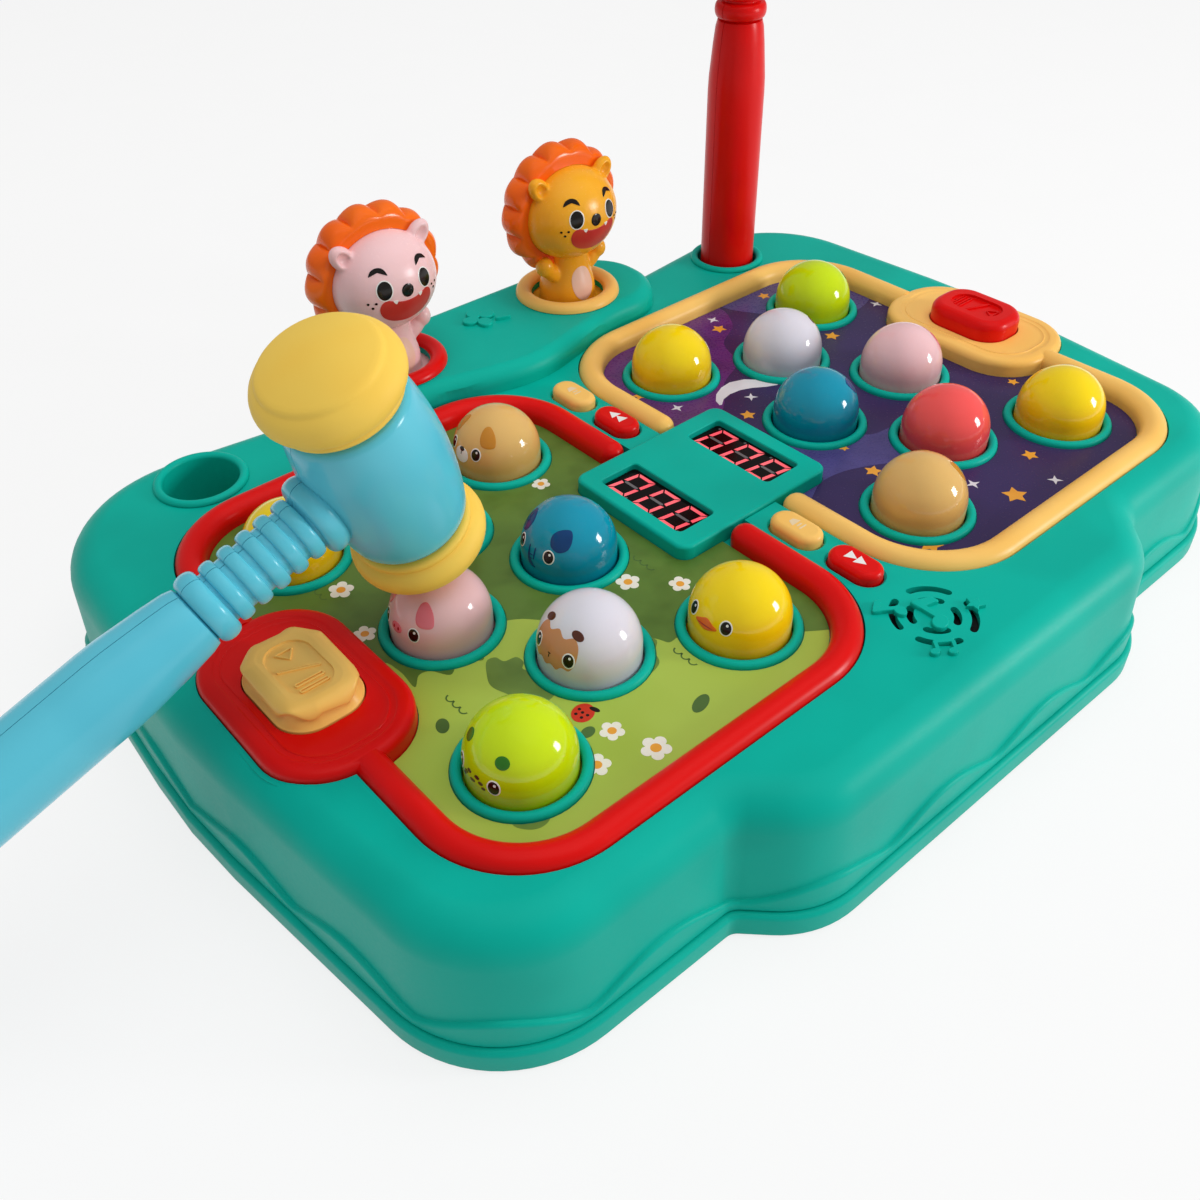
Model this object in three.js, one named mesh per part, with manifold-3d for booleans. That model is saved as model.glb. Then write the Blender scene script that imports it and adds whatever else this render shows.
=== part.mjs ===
// Table-top whack-a-mole toy for two players: a low body with two fields of eight domes, two pop-up
// lions, a scoreboard, start and setting buttons, and two hammers.
// Lengths are millimetres. +Z is up, +X runs from the day field to the night field and +Y towards
// the lions. The origin is the middle of the body's underside, which is flat.

import * as THREE from "three";
import { mergeVertices } from "three/addons/utils/BufferGeometryUtils.js";
import Module from "manifold-3d";

const wasm = await Module();
wasm.setup();

// Clearances and walls that many pieces share
const seatGap = 0.3;
const slideGap = 0.5;
const coverWall = 2.4;
const cutOverrun = 6;

// Body outline, as corners of one quarter at the front and one at the rear
const frontLobeX = 88;
const frontLobeY = 143;
const frontLobeRadius = 36;
const frontNotchX = 107;
const frontNotchY = 124;
const frontEndX = 197;
const frontEndY = 123;
const frontEndRadius = 46;
const endBowX = 213;
const endBowY = 20;
const endBowRadius = 300;
const rearEndX = 204;
const rearEndY = 165;
const rearEndRadius = 58;
const rearNotchX = 96;
const rearNotchY = 151;
const rearLobeX = 94;
const rearLobeY = 169;
const rearLobeRadius = 26;
const notchRadius = 5;
const outlineStep = 15;

// Heights of the body above the table
const lipTop = 9.5;
const deckTop = 54;

// Body wall: lip, wavy band, draft and rounded shoulder
const lipRound = 1.2;
const bandInset = 2;
const bandStep = 1.5;
const bandStepRise = 1;
const bumpCount = 24;
const bumpLow = 13;
const bumpHigh = 21;
const wallTopInset = 5;
const shoulderRadius = 13;

// Printed sheets and the pans that hold them
const sheetThick = 0.8;
const sheetDrop = 4;
const panFloorThick = 2.2;
const panWall = 1.6;

// Field frame: plan of its centre line and its section
const fieldX = 92.2;
const frameEndX = 171;
const frameMiddleX = 13.6;
const frameY = 100.8;
const frameOuterRadius = 32;
const frameInnerRadius = 34;
const frameWide = 10.4;
const frameRise = 3.4;
const frameGapHalf = 31;

// Start paddles at the ends of the frames
const paddleX = 170.5;
const paddleLong = 78;
const paddleWide = 50;
const paddleCorner = 22;
const paddleRise = 3;
const paddleLineInset = 4.5;
const paddleLineRise = 0.8;

// Start buttons
const startLong = 40;
const startWide = 30;
const startCorner = 11;
const startRise = 11;
const startRound = 4;
const startPanelEdge = 3;
const startPanelDepth = 1.2;
const startFlange = 2.4;
const startFlangeThick = 2;
const startTravel = 2;

// Domes
const domeRadius = 17;
const domeCentreRise = 5.8;
const domeFlange = 2.2;
const domeFlangeThick = 2;
const domeStemRadius = 3;
const domeTravel = 3;
const domeCornerX = 45.3;
const domeCornerY = 65.2;
const domeMiddleY = 42.9;
const domeInnerX = 27.3;
const collarOuter = 21;
const collarRise = 2.1;

// Switch boards under the domes
const boardThick = 1.6;
const boardTop = 28;
const boardMargin = 9;
const boardCorner = 12;
const switchWidth = 6;
const switchHeight = 4.5;
const postRadius = 4;
const postInset = 12;
const postY = 24;

// Scoreboard
const scoreLong = 76;
const scoreWide = 60;
const scoreCorner = 7;
const scoreTopRise = 1.6;
const scoreRound = 1.2;
const windowDayX = 23;
const windowNightX = 22;
const windowWide = 17;
const windowLong = 42;
const windowCorner = 1.5;
const windowSink = 0.8;
const wireHoleRadius = 4;

// Setting buttons in the middle of the deck
const pillLong = 21;
const pillWide = 11.4;
const pillRise = 4;
const pillRound = 2.4;
const pillTravel = 1.5;
const pillNearY = 47.7;
const pillFarY = 74.3;
const pillFlange = 1.6;
const pillStemRadius = 2;

// Lion platform
const platformRise = 10;
const platformEndX = 90;
const platformRearY = 162;
const platformFrontX = 50;
const platformFrontY = 107.5;
const platformMiddleY = 94;
const platformCorner = 26;
const platformBend = 60;
const platformRound = 4.5;

// Lions and their rings
const lionX = 48;
const lionY = 135.5;
const lionRingOuter = 23.6;
const lionRingTube = 3.6;
const lionTravel = 9;
const lionBodyRadius = 12.6;
const lionNeckRadius = 9.5;
const lionFootFlange = 2.4;
const lionFootThick = 2;
const lionHeadWide = 45;
const lionHeadDeep = 37;
const lionHeadTall = 39;
const lionHeadRise = 38.5;
const lionHeadForward = 3;
const lionEarSize = 11;
const lionEarX = 16.5;
const lionEarForward = 6.3;
const lionEarRise = 13.5;
const lionPawSize = 8.5;
const lionPawX = 10.8;
const lionPawForward = 5.5;
const lionPawRise = 11.5;
const maneWide = 59;
const maneTall = 56;
const maneThick = 13;
const maneRound = 5.5;
const maneLobes = 14;
const maneLobeDepth = 1.6;
const maneBack = 3.5;
const maneRise = 39;
const springRadius = 7;
const springWire = 1.4;
const springTurns = 5;
const springSeatTop = 28;
const springPinRadius = 4.6;

// Hammer sockets
const socketX = 142;
const socketY = 125.2;
const socketRadius = 14.3;
const socketDepth = 36;
const socketRimOuter = 17.8;
const socketWall = 2;

// Hammers
const handleTopRadius = 10.2;
const handleEndRadius = 12.8;
const handleLength = 150;
const handleFlare = 30;
const neckLength = 39.3;
const neckRadius = 8;
const ribRadius = 9.7;
const ribCount = 5;
const neckRingRadius = 11.3;
const neckSink = 2.5;
const neckRingWide = 7;
const barrelRadius = 21.8;
const barrelEndRadius = 18.6;
const barrelLength = 54;
const barrelSpigotRadius = 14;
const barrelSpigotLong = 8;
const capRadius = 22;
const capThick = 19.2;
const capCrownRadius = 45;
const capFaceRadius = 18.5;
const capStepRadius = 20.6;
const capStepDepth = 7;
const capWidestDepth = 11;
const capNeckRadius = 17;

// How the blue hammer lies: its head on the inner day dome, its handle towards -X
const restLean = 19.4;
const restRoll = 5;
const restForward = 11.3;
const restAside = 4;

// Speaker and its grille
const speakerY = 107;
const grilleOuter = 14.6;
const grilleInner = 9;
const grilleSlot = 2.6;
const grilleSweep = 62;
const speakerRadius = 17;
const speakerMagnetRadius = 10;
const speakerConeDepth = 6;
const speakerDepth = 14;

// Underside
const trayFloor = 2.4;
const trayWall = 2.2;
const doorLong = 80;
const doorWide = 68;
const doorCorner = 5;
const doorThick = 2;
const doorLedge = 9;
const doorX = 0;
const doorY = 50;
const batteryDepth = 19;
const screwHeadRadius = 3.2;
const screwHeadThick = 1;
const screwShankRadius = 1.5;
const screwLength = 8;
const screwBossRadius = 4;
const footRadius = 9;
const footX = 165;
const footFrontY = 88;
const footRearY = 118;
const footThick = 1.2;
const footPlugRadius = 3;
const switchX = 62;
const switchY = 96;
const switchLong = 9;
const switchWide = 5;
const switchProud = 2.5;
const switchWell = 4;
const switchWellDepth = 3.5;
const switchFlange = 3;
const switchTravel = 4;
const switchCorner = 1;

// Main circuit board under the scoreboard and the setting buttons
const mainBoardMargin = 11.7;
const mainBoardWide = 30;
const mainBoardTop = 38;
const mainBoardCorner = 3;

// Faces round each turned piece
const roundSteps = 10;
const largeSteps = 14;
const bendSteps = 2;
const beadSteps = 4;
const pinSteps = 6;
const headSteps = 12;
const headRings = 8;
const stubSteps = 6;
const stubRings = 4;
const ballRings = 10;
const handleSteps = 8;
const lobeSteps = 2;
const springStepsPerTurn = 6;
const springSides = 4;
const slotCount = 4;
const domeSteps = 3;
const edgeSteps = 3;
// Largest turn of one step round a corner, in degrees
const fineArc = 18;
const bodyArc = 22.5;
const plainArc = 30;
const coarseArc = 45;
// Turns of a profile's arc, in degrees
const quarterArc = 90;
const halfArc = 180;

// Colours, as seen in even light
const paint = {
  teal: { color: 0x0fae98, roughness: 0.42 },
  red: { color: 0xd81418, roughness: 0.3 },
  cream: { color: 0xf2bd5c, roughness: 0.34 },
  sky: { color: 0x6cc9df, roughness: 0.34 },
  butter: { color: 0xf8c757, roughness: 0.6 },
  yellow: { color: 0xf0cd14, roughness: 0.12 },
  lime: { color: 0xb4d313, roughness: 0.12 },
  white: { color: 0xd9dbe8, roughness: 0.12 },
  blue: { color: 0x1577a4, roughness: 0.12 },
  pink: { color: 0xe0aeb4, roughness: 0.12 },
  coral: { color: 0xe24a4e, roughness: 0.12 },
  tan: { color: 0xc99a5c, roughness: 0.12 },
  orange: { color: 0xef5b16, roughness: 0.4 },
  blush: { color: 0xf0c3c4, roughness: 0.35 },
  amber: { color: 0xf3a01d, roughness: 0.35 },
  meadow: { color: 0x7f9c3e, roughness: 0.35 },
  night: { color: 0x3a2f5c, roughness: 0.3 },
  glass: { color: 0x120a0c, roughness: 0.15 },
  board: { color: 0x1d6b3a, roughness: 0.6 },
  black: { color: 0x1a1a1c, roughness: 0.6 },
  rubber: { color: 0x3b3d40, roughness: 0.9 },
  steel: { color: 0xb9bcc0, roughness: 0.3, metalness: 1 },
};

// Heights worked out from the sizes above
const coverBottom = lipTop + seatGap;
const printTop = deckTop - sheetDrop;
const panFloorTop = printTop - sheetThick - seatGap;
const panFloorBottom = panFloorTop - panFloorThick;
const deckInset = wallTopInset + shoulderRadius;
const platformTop = deckTop + platformRise;
const deckUnder = deckTop - coverWall;
const platformUnder = platformTop - coverWall;
const domeHole = domeRadius + slideGap;
const lionHoleRadius = lionRingOuter - 2 * lionRingTube;
const lionFootLow = platformUnder - seatGap - lionFootThick;
const springPinTop = lionFootLow - seatGap - lionTravel;
const socketHoleRadius = socketRadius + socketWall + seatGap;
const boardInnerX = fieldX - domeCornerX - boardMargin;
const boardOuterX = paddleX + boardMargin;
const boardX = (boardInnerX + boardOuterX) / 2;
const boardLong = boardOuterX - boardInnerX;
const boardWide = 2 * (domeCornerY + boardMargin);
const postX = boardLong / 2 - postInset;
const mainBoardLong = 2 * (pillFarY + mainBoardMargin);
const domeStemLow = boardTop + switchHeight + seatGap + domeTravel;
const startStemLow = boardTop + switchHeight + seatGap + startTravel;
const pillStemLow = mainBoardTop + switchHeight + seatGap + pillTravel;
const headHalf = barrelLength / 2 + capThick;
const neckStart = barrelRadius - neckSink + neckRingWide / 2;
const screwTop = doorThick + screwLength;
const switchFloor = switchWellDepth + trayFloor;
const screwPlace = [doorX, doorY - doorLong / 2 + doorLedge / 2];
const footPlaces = [
  [-footX, -footFrontY],
  [footX, -footFrontY],
  [-footX, footRearY],
  [footX, footRearY],
];
const sides = [-1, 1];
const pillPlaces = [-pillFarY, -pillNearY, pillNearY, pillFarY];
const quarterTurn = Math.PI / 2;
const halfTurn = Math.PI;
const fullTurn = 2 * Math.PI;

const toy = new THREE.Group();

// Solids: a closed geometry becomes a manifold solid, and goes back to a geometry at the end

function weldedMesh(geometry) {
  const bare = geometry.clone();
  bare.deleteAttribute("normal");
  bare.deleteAttribute("uv");
  const welded = mergeVertices(bare);
  const corners = welded.index.array;
  const kept = [];
  for (let i = 0; i < corners.length; i += 3) {
    const [a, b, c] = [corners[i], corners[i + 1], corners[i + 2]];
    if (a !== b && b !== c && c !== a) {
      kept.push(a, b, c);
    }
  }
  return { positions: welded.attributes.position.array, triangles: kept };
}

function signedVolume(positions, triangles) {
  const at = (i) => new THREE.Vector3().fromArray(positions, 3 * i);
  let total = 0;
  for (let i = 0; i < triangles.length; i += 3) {
    total += at(triangles[i]).dot(at(triangles[i + 1]).cross(at(triangles[i + 2])));
  }
  return total;
}

function solid(geometry) {
  const { positions, triangles } = weldedMesh(geometry);
  if (signedVolume(positions, triangles) < 0) {
    for (let i = 0; i < triangles.length; i += 3) {
      [triangles[i], triangles[i + 1]] = [triangles[i + 1], triangles[i]];
    }
  }
  return new wasm.Manifold(
    new wasm.Mesh({
      numProp: 3,
      vertProperties: Float32Array.from(positions),
      triVerts: Uint32Array.from(triangles),
    }),
  );
}

function geometryOf(body) {
  const mesh = body.getMesh();
  const geometry = new THREE.BufferGeometry();
  geometry.setAttribute("position", new THREE.BufferAttribute(mesh.vertProperties, 3));
  geometry.setIndex(new THREE.BufferAttribute(mesh.triVerts, 1));
  geometry.computeVertexNormals();
  return geometry;
}

function joined(solids) {
  return solids.reduce((whole, next) => whole.add(next));
}

function without(body, cuts) {
  return cuts.reduce((rest, cut) => rest.subtract(cut), body);
}

function addPiece(name, body, look, parent = toy) {
  const material = new THREE.MeshStandardMaterial({ metalness: 0, ...look });
  const mesh = new THREE.Mesh(geometryOf(body), material);
  mesh.name = name;
  parent.add(mesh);
  return mesh;
}

// Forms

function moved(geometry, x, y, z) {
  return geometry.translate(x, y, z);
}

// A solid of revolution about Z from a profile of [radius, height] points that starts and ends
// on the axis, or closes on itself
function revolved(profile, steps = roundSteps) {
  const points = profile.map(([radius, height]) => new THREE.Vector2(radius, height));
  return new THREE.LatheGeometry(points, steps).rotateX(quarterTurn);
}

function disc(radius, low, high, steps = roundSteps) {
  return revolved([[0, low], [radius, low], [radius, high], [0, high]], steps);
}

function ball(wide, deep, tall, steps = roundSteps, rings = ballRings) {
  const radius = 1 / 2;
  return new THREE.SphereGeometry(radius, steps, rings).rotateX(quarterTurn).scale(wide, deep, tall);
}

function box(wide, deep, tall) {
  return new THREE.BoxGeometry(wide, deep, tall);
}

// Points on an arc of a profile, from one angle to another in degrees
function profileArc(centreRadius, centreHeight, radius, from, to, steps) {
  const points = [];
  for (let i = 0; i <= steps; i += 1) {
    const angle = THREE.MathUtils.degToRad(from + ((to - from) * i) / steps);
    points.push([centreRadius + radius * Math.cos(angle), centreHeight + radius * Math.sin(angle)]);
  }
  return points;
}

// Samples of a closed outline with rounded corners, counter-clockwise, each with its outward
// normal and its distance along the outline
function roundedOutline(corners, arcDegrees = fineArc, longest = Infinity) {
  const samples = [];
  const count = corners.length;
  const cut = corners.map(([x, y, radius], i) => {
    const [px, py] = corners[(i + count - 1) % count];
    const [nx, ny] = corners[(i + 1) % count];
    const into = new THREE.Vector2(x - px, y - py).normalize();
    const out = new THREE.Vector2(nx - x, ny - y).normalize();
    const turn = Math.atan2(into.cross(out), into.dot(out));
    const reach = radius * Math.abs(Math.tan(turn / 2));
    return { x, y, radius, into, out, turn, reach };
  });
  for (let i = 0; i < count; i += 1) {
    const { x, y, radius, into, out, turn, reach } = cut[i];
    const next = cut[(i + 1) % count];
    const side = Math.sign(turn);
    const start = Math.atan2(-into.x * side, into.y * side);
    const centreX = x - into.x * reach - into.y * radius * side;
    const centreY = y - into.y * reach + into.x * radius * side;
    const steps = Math.max(1, Math.round(Math.abs(turn) / THREE.MathUtils.degToRad(arcDegrees)));
    for (let k = 0; k <= steps; k += 1) {
      const angle = start + (turn * k) / steps;
      const [nx, ny] = [Math.cos(angle), Math.sin(angle)];
      samples.push({ x: centreX + radius * nx, y: centreY + radius * ny, nx: nx * side, ny: ny * side });
    }
    const lineX = next.x - next.into.x * next.reach - x - out.x * reach;
    const lineY = next.y - next.into.y * next.reach - y - out.y * reach;
    const length = Math.hypot(lineX, lineY);
    const parts = Math.ceil(length / longest);
    for (let k = 1; k < parts; k += 1) {
      const along = (length * k) / parts + reach;
      samples.push({ x: x + out.x * along, y: y + out.y * along, nx: out.y, ny: -out.x });
    }
  }
  let along = 0;
  samples.forEach((sample, i) => {
    const before = samples[(i + samples.length - 1) % samples.length];
    along += i === 0 ? 0 : Math.hypot(sample.x - before.x, sample.y - before.y);
    sample.along = along;
  });
  const [first, last] = [samples[0], samples[samples.length - 1]];
  samples.total = along + Math.hypot(first.x - last.x, first.y - last.y);
  samples.lead = Math.abs(first.x);
  return samples;
}

// One ring of a loft: the outline moved inwards, at one height or at a height for each sample
function ringAt(outline, inset, height) {
  return outline.map((sample) => {
    const z = typeof height === "function" ? height(sample) : height;
    return new THREE.Vector3(sample.x - sample.nx * inset, sample.y - sample.ny * inset, z);
  });
}

function sideTriangles(rings, closed) {
  const count = rings[0].length;
  const triangles = [];
  const bands = closed ? rings.length : rings.length - 1;
  for (let r = 0; r < bands; r += 1) {
    const [low, high] = [r * count, ((r + 1) % rings.length) * count];
    for (let i = 0; i < count; i += 1) {
      const j = (i + 1) % count;
      triangles.push(low + i, low + j, high + j, low + i, high + j, high + i);
    }
  }
  return triangles;
}

function capTriangles(ring) {
  const flat = ring.map((point) => new THREE.Vector2(point.x, point.y));
  return THREE.ShapeUtils.triangulateShape(flat, []);
}

function indexed(points, triangles) {
  const geometry = new THREE.BufferGeometry().setFromPoints(points);
  geometry.setIndex(triangles);
  return geometry;
}

// A closed solid through rings of equal counts, with a face over its first and its last ring
function loft(rings) {
  const top = (rings.length - 1) * rings[0].length;
  const triangles = sideTriangles(rings, false);
  for (const [a, b, c] of capTriangles(rings[0])) {
    triangles.push(a, c, b);
  }
  for (const [a, b, c] of capTriangles(rings[rings.length - 1])) {
    triangles.push(top + a, top + b, top + c);
  }
  return indexed(rings.flat(), triangles);
}

// A closed ring whose section goes from its first ring of points round to the first again
function ringLoft(rings) {
  return indexed(rings.flat(), sideTriangles(rings, true));
}

function plate(outline, low, high, inset = 0) {
  return loft([ringAt(outline, inset, low), ringAt(outline, inset, high)]);
}

// A plate whose top edge is rounded
function roundedPlate(outline, low, high, round, inset = 0, steps = bendSteps) {
  const rings = [ringAt(outline, inset, low)];
  for (let i = 0; i <= steps; i += 1) {
    const angle = (quarterTurn * i) / steps;
    const reach = inset + round * (1 - Math.cos(angle));
    rings.push(ringAt(outline, reach, high - round + round * Math.sin(angle)));
  }
  return loft(rings);
}

function rectangle(wide, long, corner, x = 0, y = 0, arcDegrees = bodyArc) {
  const [a, b] = [wide / 2, long / 2];
  const corners = [
    [x + a, y - b, corner],
    [x + a, y + b, corner],
    [x - a, y + b, corner],
    [x - a, y - b, corner],
  ];
  return roundedOutline(corners, arcDegrees);
}

// A tube with a section of its own along an open run of points, with both ends closed
function swept(points, section, steps) {
  const path = new THREE.CatmullRomCurve3(points);
  const shape = new THREE.Shape(section);
  return new THREE.ExtrudeGeometry(shape, { steps, extrudePath: path, bevelEnabled: false });
}

function circleSection(radius, sides) {
  const points = [];
  for (let i = 0; i < sides; i += 1) {
    const angle = (fullTurn * i) / sides;
    points.push(new THREE.Vector2(radius * Math.cos(angle), radius * Math.sin(angle)));
  }
  return points;
}

// Body

function bodyOutline(arcDegrees, longest) {
  const half = [
    [frontLobeX, -frontLobeY, frontLobeRadius],
    [frontNotchX, -frontNotchY, notchRadius],
    [frontEndX, -frontEndY, frontEndRadius],
    [endBowX, endBowY, endBowRadius],
    [rearEndX, rearEndY, rearEndRadius],
    [rearNotchX, rearNotchY, notchRadius],
    [rearLobeX, rearLobeY, rearLobeRadius],
  ];
  const mirrored = half.map(([x, y, radius]) => [-x, y, radius]).reverse();
  return roundedOutline([...half, ...mirrored], arcDegrees, longest);
}

// Height of the wavy step: it dips at the middle of the front, and after each bump from there
function bumpHeight(outline, sample) {
  const crownShare = 1.3;
  const bumps = ((sample.along + outline.lead) * bumpCount) / outline.total;
  return bumpLow + (bumpHigh - bumpLow) * Math.abs(Math.sin(bumps * halfTurn)) ** crownShare;
}

function coverOuter(outline) {
  const wave = (sample) => bumpHeight(outline, sample);
  const rings = [
    ringAt(outline, bandInset, coverBottom),
    ringAt(outline, bandInset, wave),
    ringAt(outline, bandInset + bandStep, (sample) => wave(sample) + bandStepRise),
  ];
  for (let i = 0; i <= bendSteps; i += 1) {
    const angle = (quarterTurn * i) / bendSteps;
    const inset = wallTopInset + shoulderRadius * (1 - Math.cos(angle));
    rings.push(ringAt(outline, inset, deckTop - shoulderRadius * (1 - Math.sin(angle))));
  }
  return solid(loft(rings));
}

function coverHollow(outline) {
  const inset = wallTopInset + coverWall;
  return solid(
    loft([
      ringAt(outline, inset, coverBottom - cutOverrun),
      ringAt(outline, inset, deckTop - shoulderRadius),
      ringAt(outline, deckInset, deckUnder),
    ]),
  );
}

function platformOutline() {
  const half = [
    [platformFrontX, platformFrontY, platformBend],
    [platformEndX, platformFrontY, platformCorner],
    [platformEndX, platformRearY, platformCorner],
  ];
  const mirrored = half.map(([x, y, radius]) => [-x, y, radius]).reverse();
  return roundedOutline([[0, platformMiddleY, platformBend], ...half, ...mirrored], fineArc);
}

function platformSolid() {
  const low = deckTop - shoulderRadius;
  return solid(roundedPlate(platformOutline(), low, platformTop, platformRound));
}

function platformHollow() {
  return solid(plate(platformOutline(), deckTop - cutOverrun, platformUnder, coverWall));
}

// Plan of one field's frame centre line; side is -1 for the day field and 1 for the night field
function frameOutline(side) {
  const end = frameEndX;
  const middle = frameMiddleX;
  const corners = [
    [end, -frameY, frameOuterRadius],
    [end, frameY, frameOuterRadius],
    [middle, frameY, frameInnerRadius],
    [middle, -frameY, frameInnerRadius],
  ];
  const turned = corners.map(([x, y, radius]) => [side * x, side * y, radius]);
  return roundedOutline(turned, plainArc);
}

function paddleOutline(side) {
  return rectangle(paddleWide, paddleLong, paddleCorner, side * paddleX, 0, plainArc);
}

function scoreOutline() {
  return rectangle(scoreLong, scoreWide, scoreCorner, 0, 0, plainArc);
}

function domePlaces(side) {
  const places = [
    [domeCornerX, domeCornerY],
    [domeCornerX, -domeCornerY],
    [-domeCornerX, domeCornerY],
    [-domeCornerX, -domeCornerY],
    [0, domeMiddleY],
    [0, -domeMiddleY],
    [domeInnerX, 0],
    [-domeInnerX, 0],
  ];
  return places.map(([x, y]) => [side * (fieldX + x), side * y]);
}

// Plates over a field's frame, its paddle and the scoreboard, grown by a margin
function panPlates(low, high, margin) {
  const plates = [solid(plate(scoreOutline(), low, high, -margin))];
  for (const side of sides) {
    plates.push(solid(plate(frameOutline(side), low, high, -frameWide / 2 - margin)));
    plates.push(solid(plate(paddleOutline(side), low, high, -margin)));
  }
  return joined(plates);
}

function collar([x, y]) {
  const middle = (collarOuter + domeHole) / 2;
  const half = (collarOuter - domeHole) / 2;
  const crown = profileArc(middle, printTop + collarRise - half, half, 0, halfArc, 2);
  const profile = [[0, panFloorBottom], [collarOuter, panFloorBottom], ...crown];
  profile.push([0, printTop]);
  return solid(moved(revolved(profile), x, y, 0));
}

function drill(radius, [x, y], low, high, steps = roundSteps) {
  return solid(moved(disc(radius, low, high, steps), x, y, 0));
}

function pillOutline(y, grow = 0) {
  const wide = pillWide + 2 * grow;
  return rectangle(wide, pillLong + 2 * grow, wide / 2, 0, y, coarseArc);
}

// Arc slots of the speaker grille: two rings of four, each slot in the middle of its quarter
function grilleSlots() {
  const halfSweep = THREE.MathUtils.degToRad(grilleSweep) / 2;
  const options = { depth: coverWall + 2 * cutOverrun, bevelEnabled: false, curveSegments: 2 };
  const slots = [];
  for (const radius of [grilleOuter, grilleInner]) {
    for (let i = 0; i < slotCount; i += 1) {
      const middle = quarterTurn * (i + 1 / 2);
      const [from, to] = [middle - halfSweep, middle + halfSweep];
      const shape = new THREE.Shape();
      shape.absarc(0, 0, radius, from, to, false);
      shape.absarc(0, 0, radius - grilleSlot, to, from, true);
      const slot = new THREE.ExtrudeGeometry(shape, options);
      slots.push(solid(moved(slot, 0, -speakerY, deckUnder - cutOverrun)));
    }
  }
  return slots;
}

function coverHoles() {
  const [low, high] = [panFloorBottom - cutOverrun, platformTop + cutOverrun];
  const holes = grilleSlots();
  for (const side of sides) {
    holes.push(drill(lionHoleRadius, [side * lionX, lionY], low, high, largeSteps));
    holes.push(drill(socketHoleRadius, [side * socketX, socketY], low, high, largeSteps));
    holes.push(drill(wireHoleRadius, [side * windowDayX, 0], low, high));
    holes.push(solid(plate(startOutline(side), low, high, -slideGap)));
    holes.push(...domePlaces(side).map((place) => drill(domeHole, place, low, high)));
  }
  holes.push(...pillPlaces.map((y) => solid(plate(pillOutline(y, slideGap), low, high))));
  return holes;
}

function topCover() {
  const outer = coverOuter(bodyOutline(bodyArc, outlineStep));
  const hollow = coverHollow(bodyOutline(plainArc, Infinity));
  const shell = without(outer.add(platformSolid()), [hollow, platformHollow()]);
  const tubs = panPlates(panFloorBottom, deckTop - coverWall / 2, seatGap + panWall);
  const pans = panPlates(panFloorTop, deckTop + cutOverrun, seatGap);
  const collars = sides.flatMap((side) => domePlaces(side).map(collar));
  const deck = joined([shell.add(tubs).subtract(pans), ...collars]);
  return without(deck, coverHoles());
}

// Printed sheet of one field, with a hole round every collar
function fieldSheet(side) {
  const [low, high] = [printTop - sheetThick, printTop];
  const [under, over] = [low - cutOverrun, high + cutOverrun];
  const sheet = solid(plate(frameOutline(side), low, high, frameWide / 2 + seatGap));
  const paddle = solid(plate(paddleOutline(side), under, over, -seatGap));
  const score = solid(plate(scoreOutline(), under, over, -seatGap));
  const holes = domePlaces(side).map((place) => drill(collarOuter + seatGap, place, under, over));
  return without(sheet, [paddle, score, ...holes]);
}

// Field frame: a bead with a rounded top, and the start paddle at its outer end
function fieldFrame(side) {
  const half = frameWide / 2;
  const [low, high] = [panFloorTop + seatGap, deckTop + frameRise];
  const section = [[half, low], [-half, low]];
  for (let i = 0; i <= beadSteps; i += 1) {
    const angle = halfTurn * (1 - i / beadSteps);
    section.push([half * Math.cos(angle), high - half + half * Math.sin(angle)]);
  }
  const outline = frameOutline(side);
  const bead = solid(ringLoft(section.map(([inset, z]) => ringAt(outline, inset, z))));
  const opening = box(frameWide + 2 * cutOverrun, 2 * frameGapHalf, deckTop);
  const trims = [
    solid(moved(opening, side * frameMiddleX, 0, deckTop)),
    solid(plate(paddleOutline(side), low - cutOverrun, high + cutOverrun, paddleRise)),
  ];
  const buttonHole = solid(plate(startOutline(side), low - cutOverrun, high + cutOverrun, -slideGap));
  return without(bead, trims).add(startPaddle(side, low)).subtract(buttonHole);
}

// Start paddle: a plate with a rounded edge and a raised middle
function startPaddle(side, low) {
  const outline = paddleOutline(side);
  const top = deckTop + paddleRise;
  const rings = [ringAt(outline, 0, low)];
  for (let i = 0; i <= bendSteps; i += 1) {
    const angle = (quarterTurn * i) / bendSteps;
    rings.push(ringAt(outline, paddleRise * (1 - Math.cos(angle)), deckTop + paddleRise * Math.sin(angle)));
  }
  const inner = paddleRise + paddleLineInset;
  rings.push(ringAt(outline, inner, top));
  rings.push(ringAt(outline, inner + paddleLineRise, top + paddleLineRise));
  return solid(loft(rings));
}

// Buttons

function startOutline(side) {
  return rectangle(startWide, startLong, startCorner, side * paddleX, 0, plainArc);
}

// Start button: a rounded block with a sunk panel and a rim that the pan's floor holds down
function startButton(side) {
  const outline = startOutline(side);
  const top = deckTop + startRise;
  const low = panFloorBottom - seatGap - startFlangeThick;
  const block = solid(roundedPlate(outline, low, top, startRound, 0, 2));
  const flange = solid(plate(outline, low, low + startFlangeThick, -startFlange));
  const panel = solid(plate(outline, top - startPanelDepth, top + cutOverrun, startRound + startPanelEdge));
  const stem = drill(domeStemRadius, [side * paddleX, 0], startStemLow, low + startFlangeThick);
  return joined([block, flange, stem]).subtract(panel);
}

function pillButton(y) {
  const top = deckTop + pillRise;
  const low = deckUnder - seatGap - pillFlange;
  const body = solid(roundedPlate(pillOutline(y), low, top, pillRound, 0, 2));
  const flange = rectangle(pillWide, pillLong + 2 * (slideGap + pillFlange), pillWide / 2, 0, y, coarseArc);
  const stem = drill(pillStemRadius, [0, y], pillStemLow, low + pillFlange);
  return joined([body, solid(plate(flange, low, low + pillFlange)), stem]);
}

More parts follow.
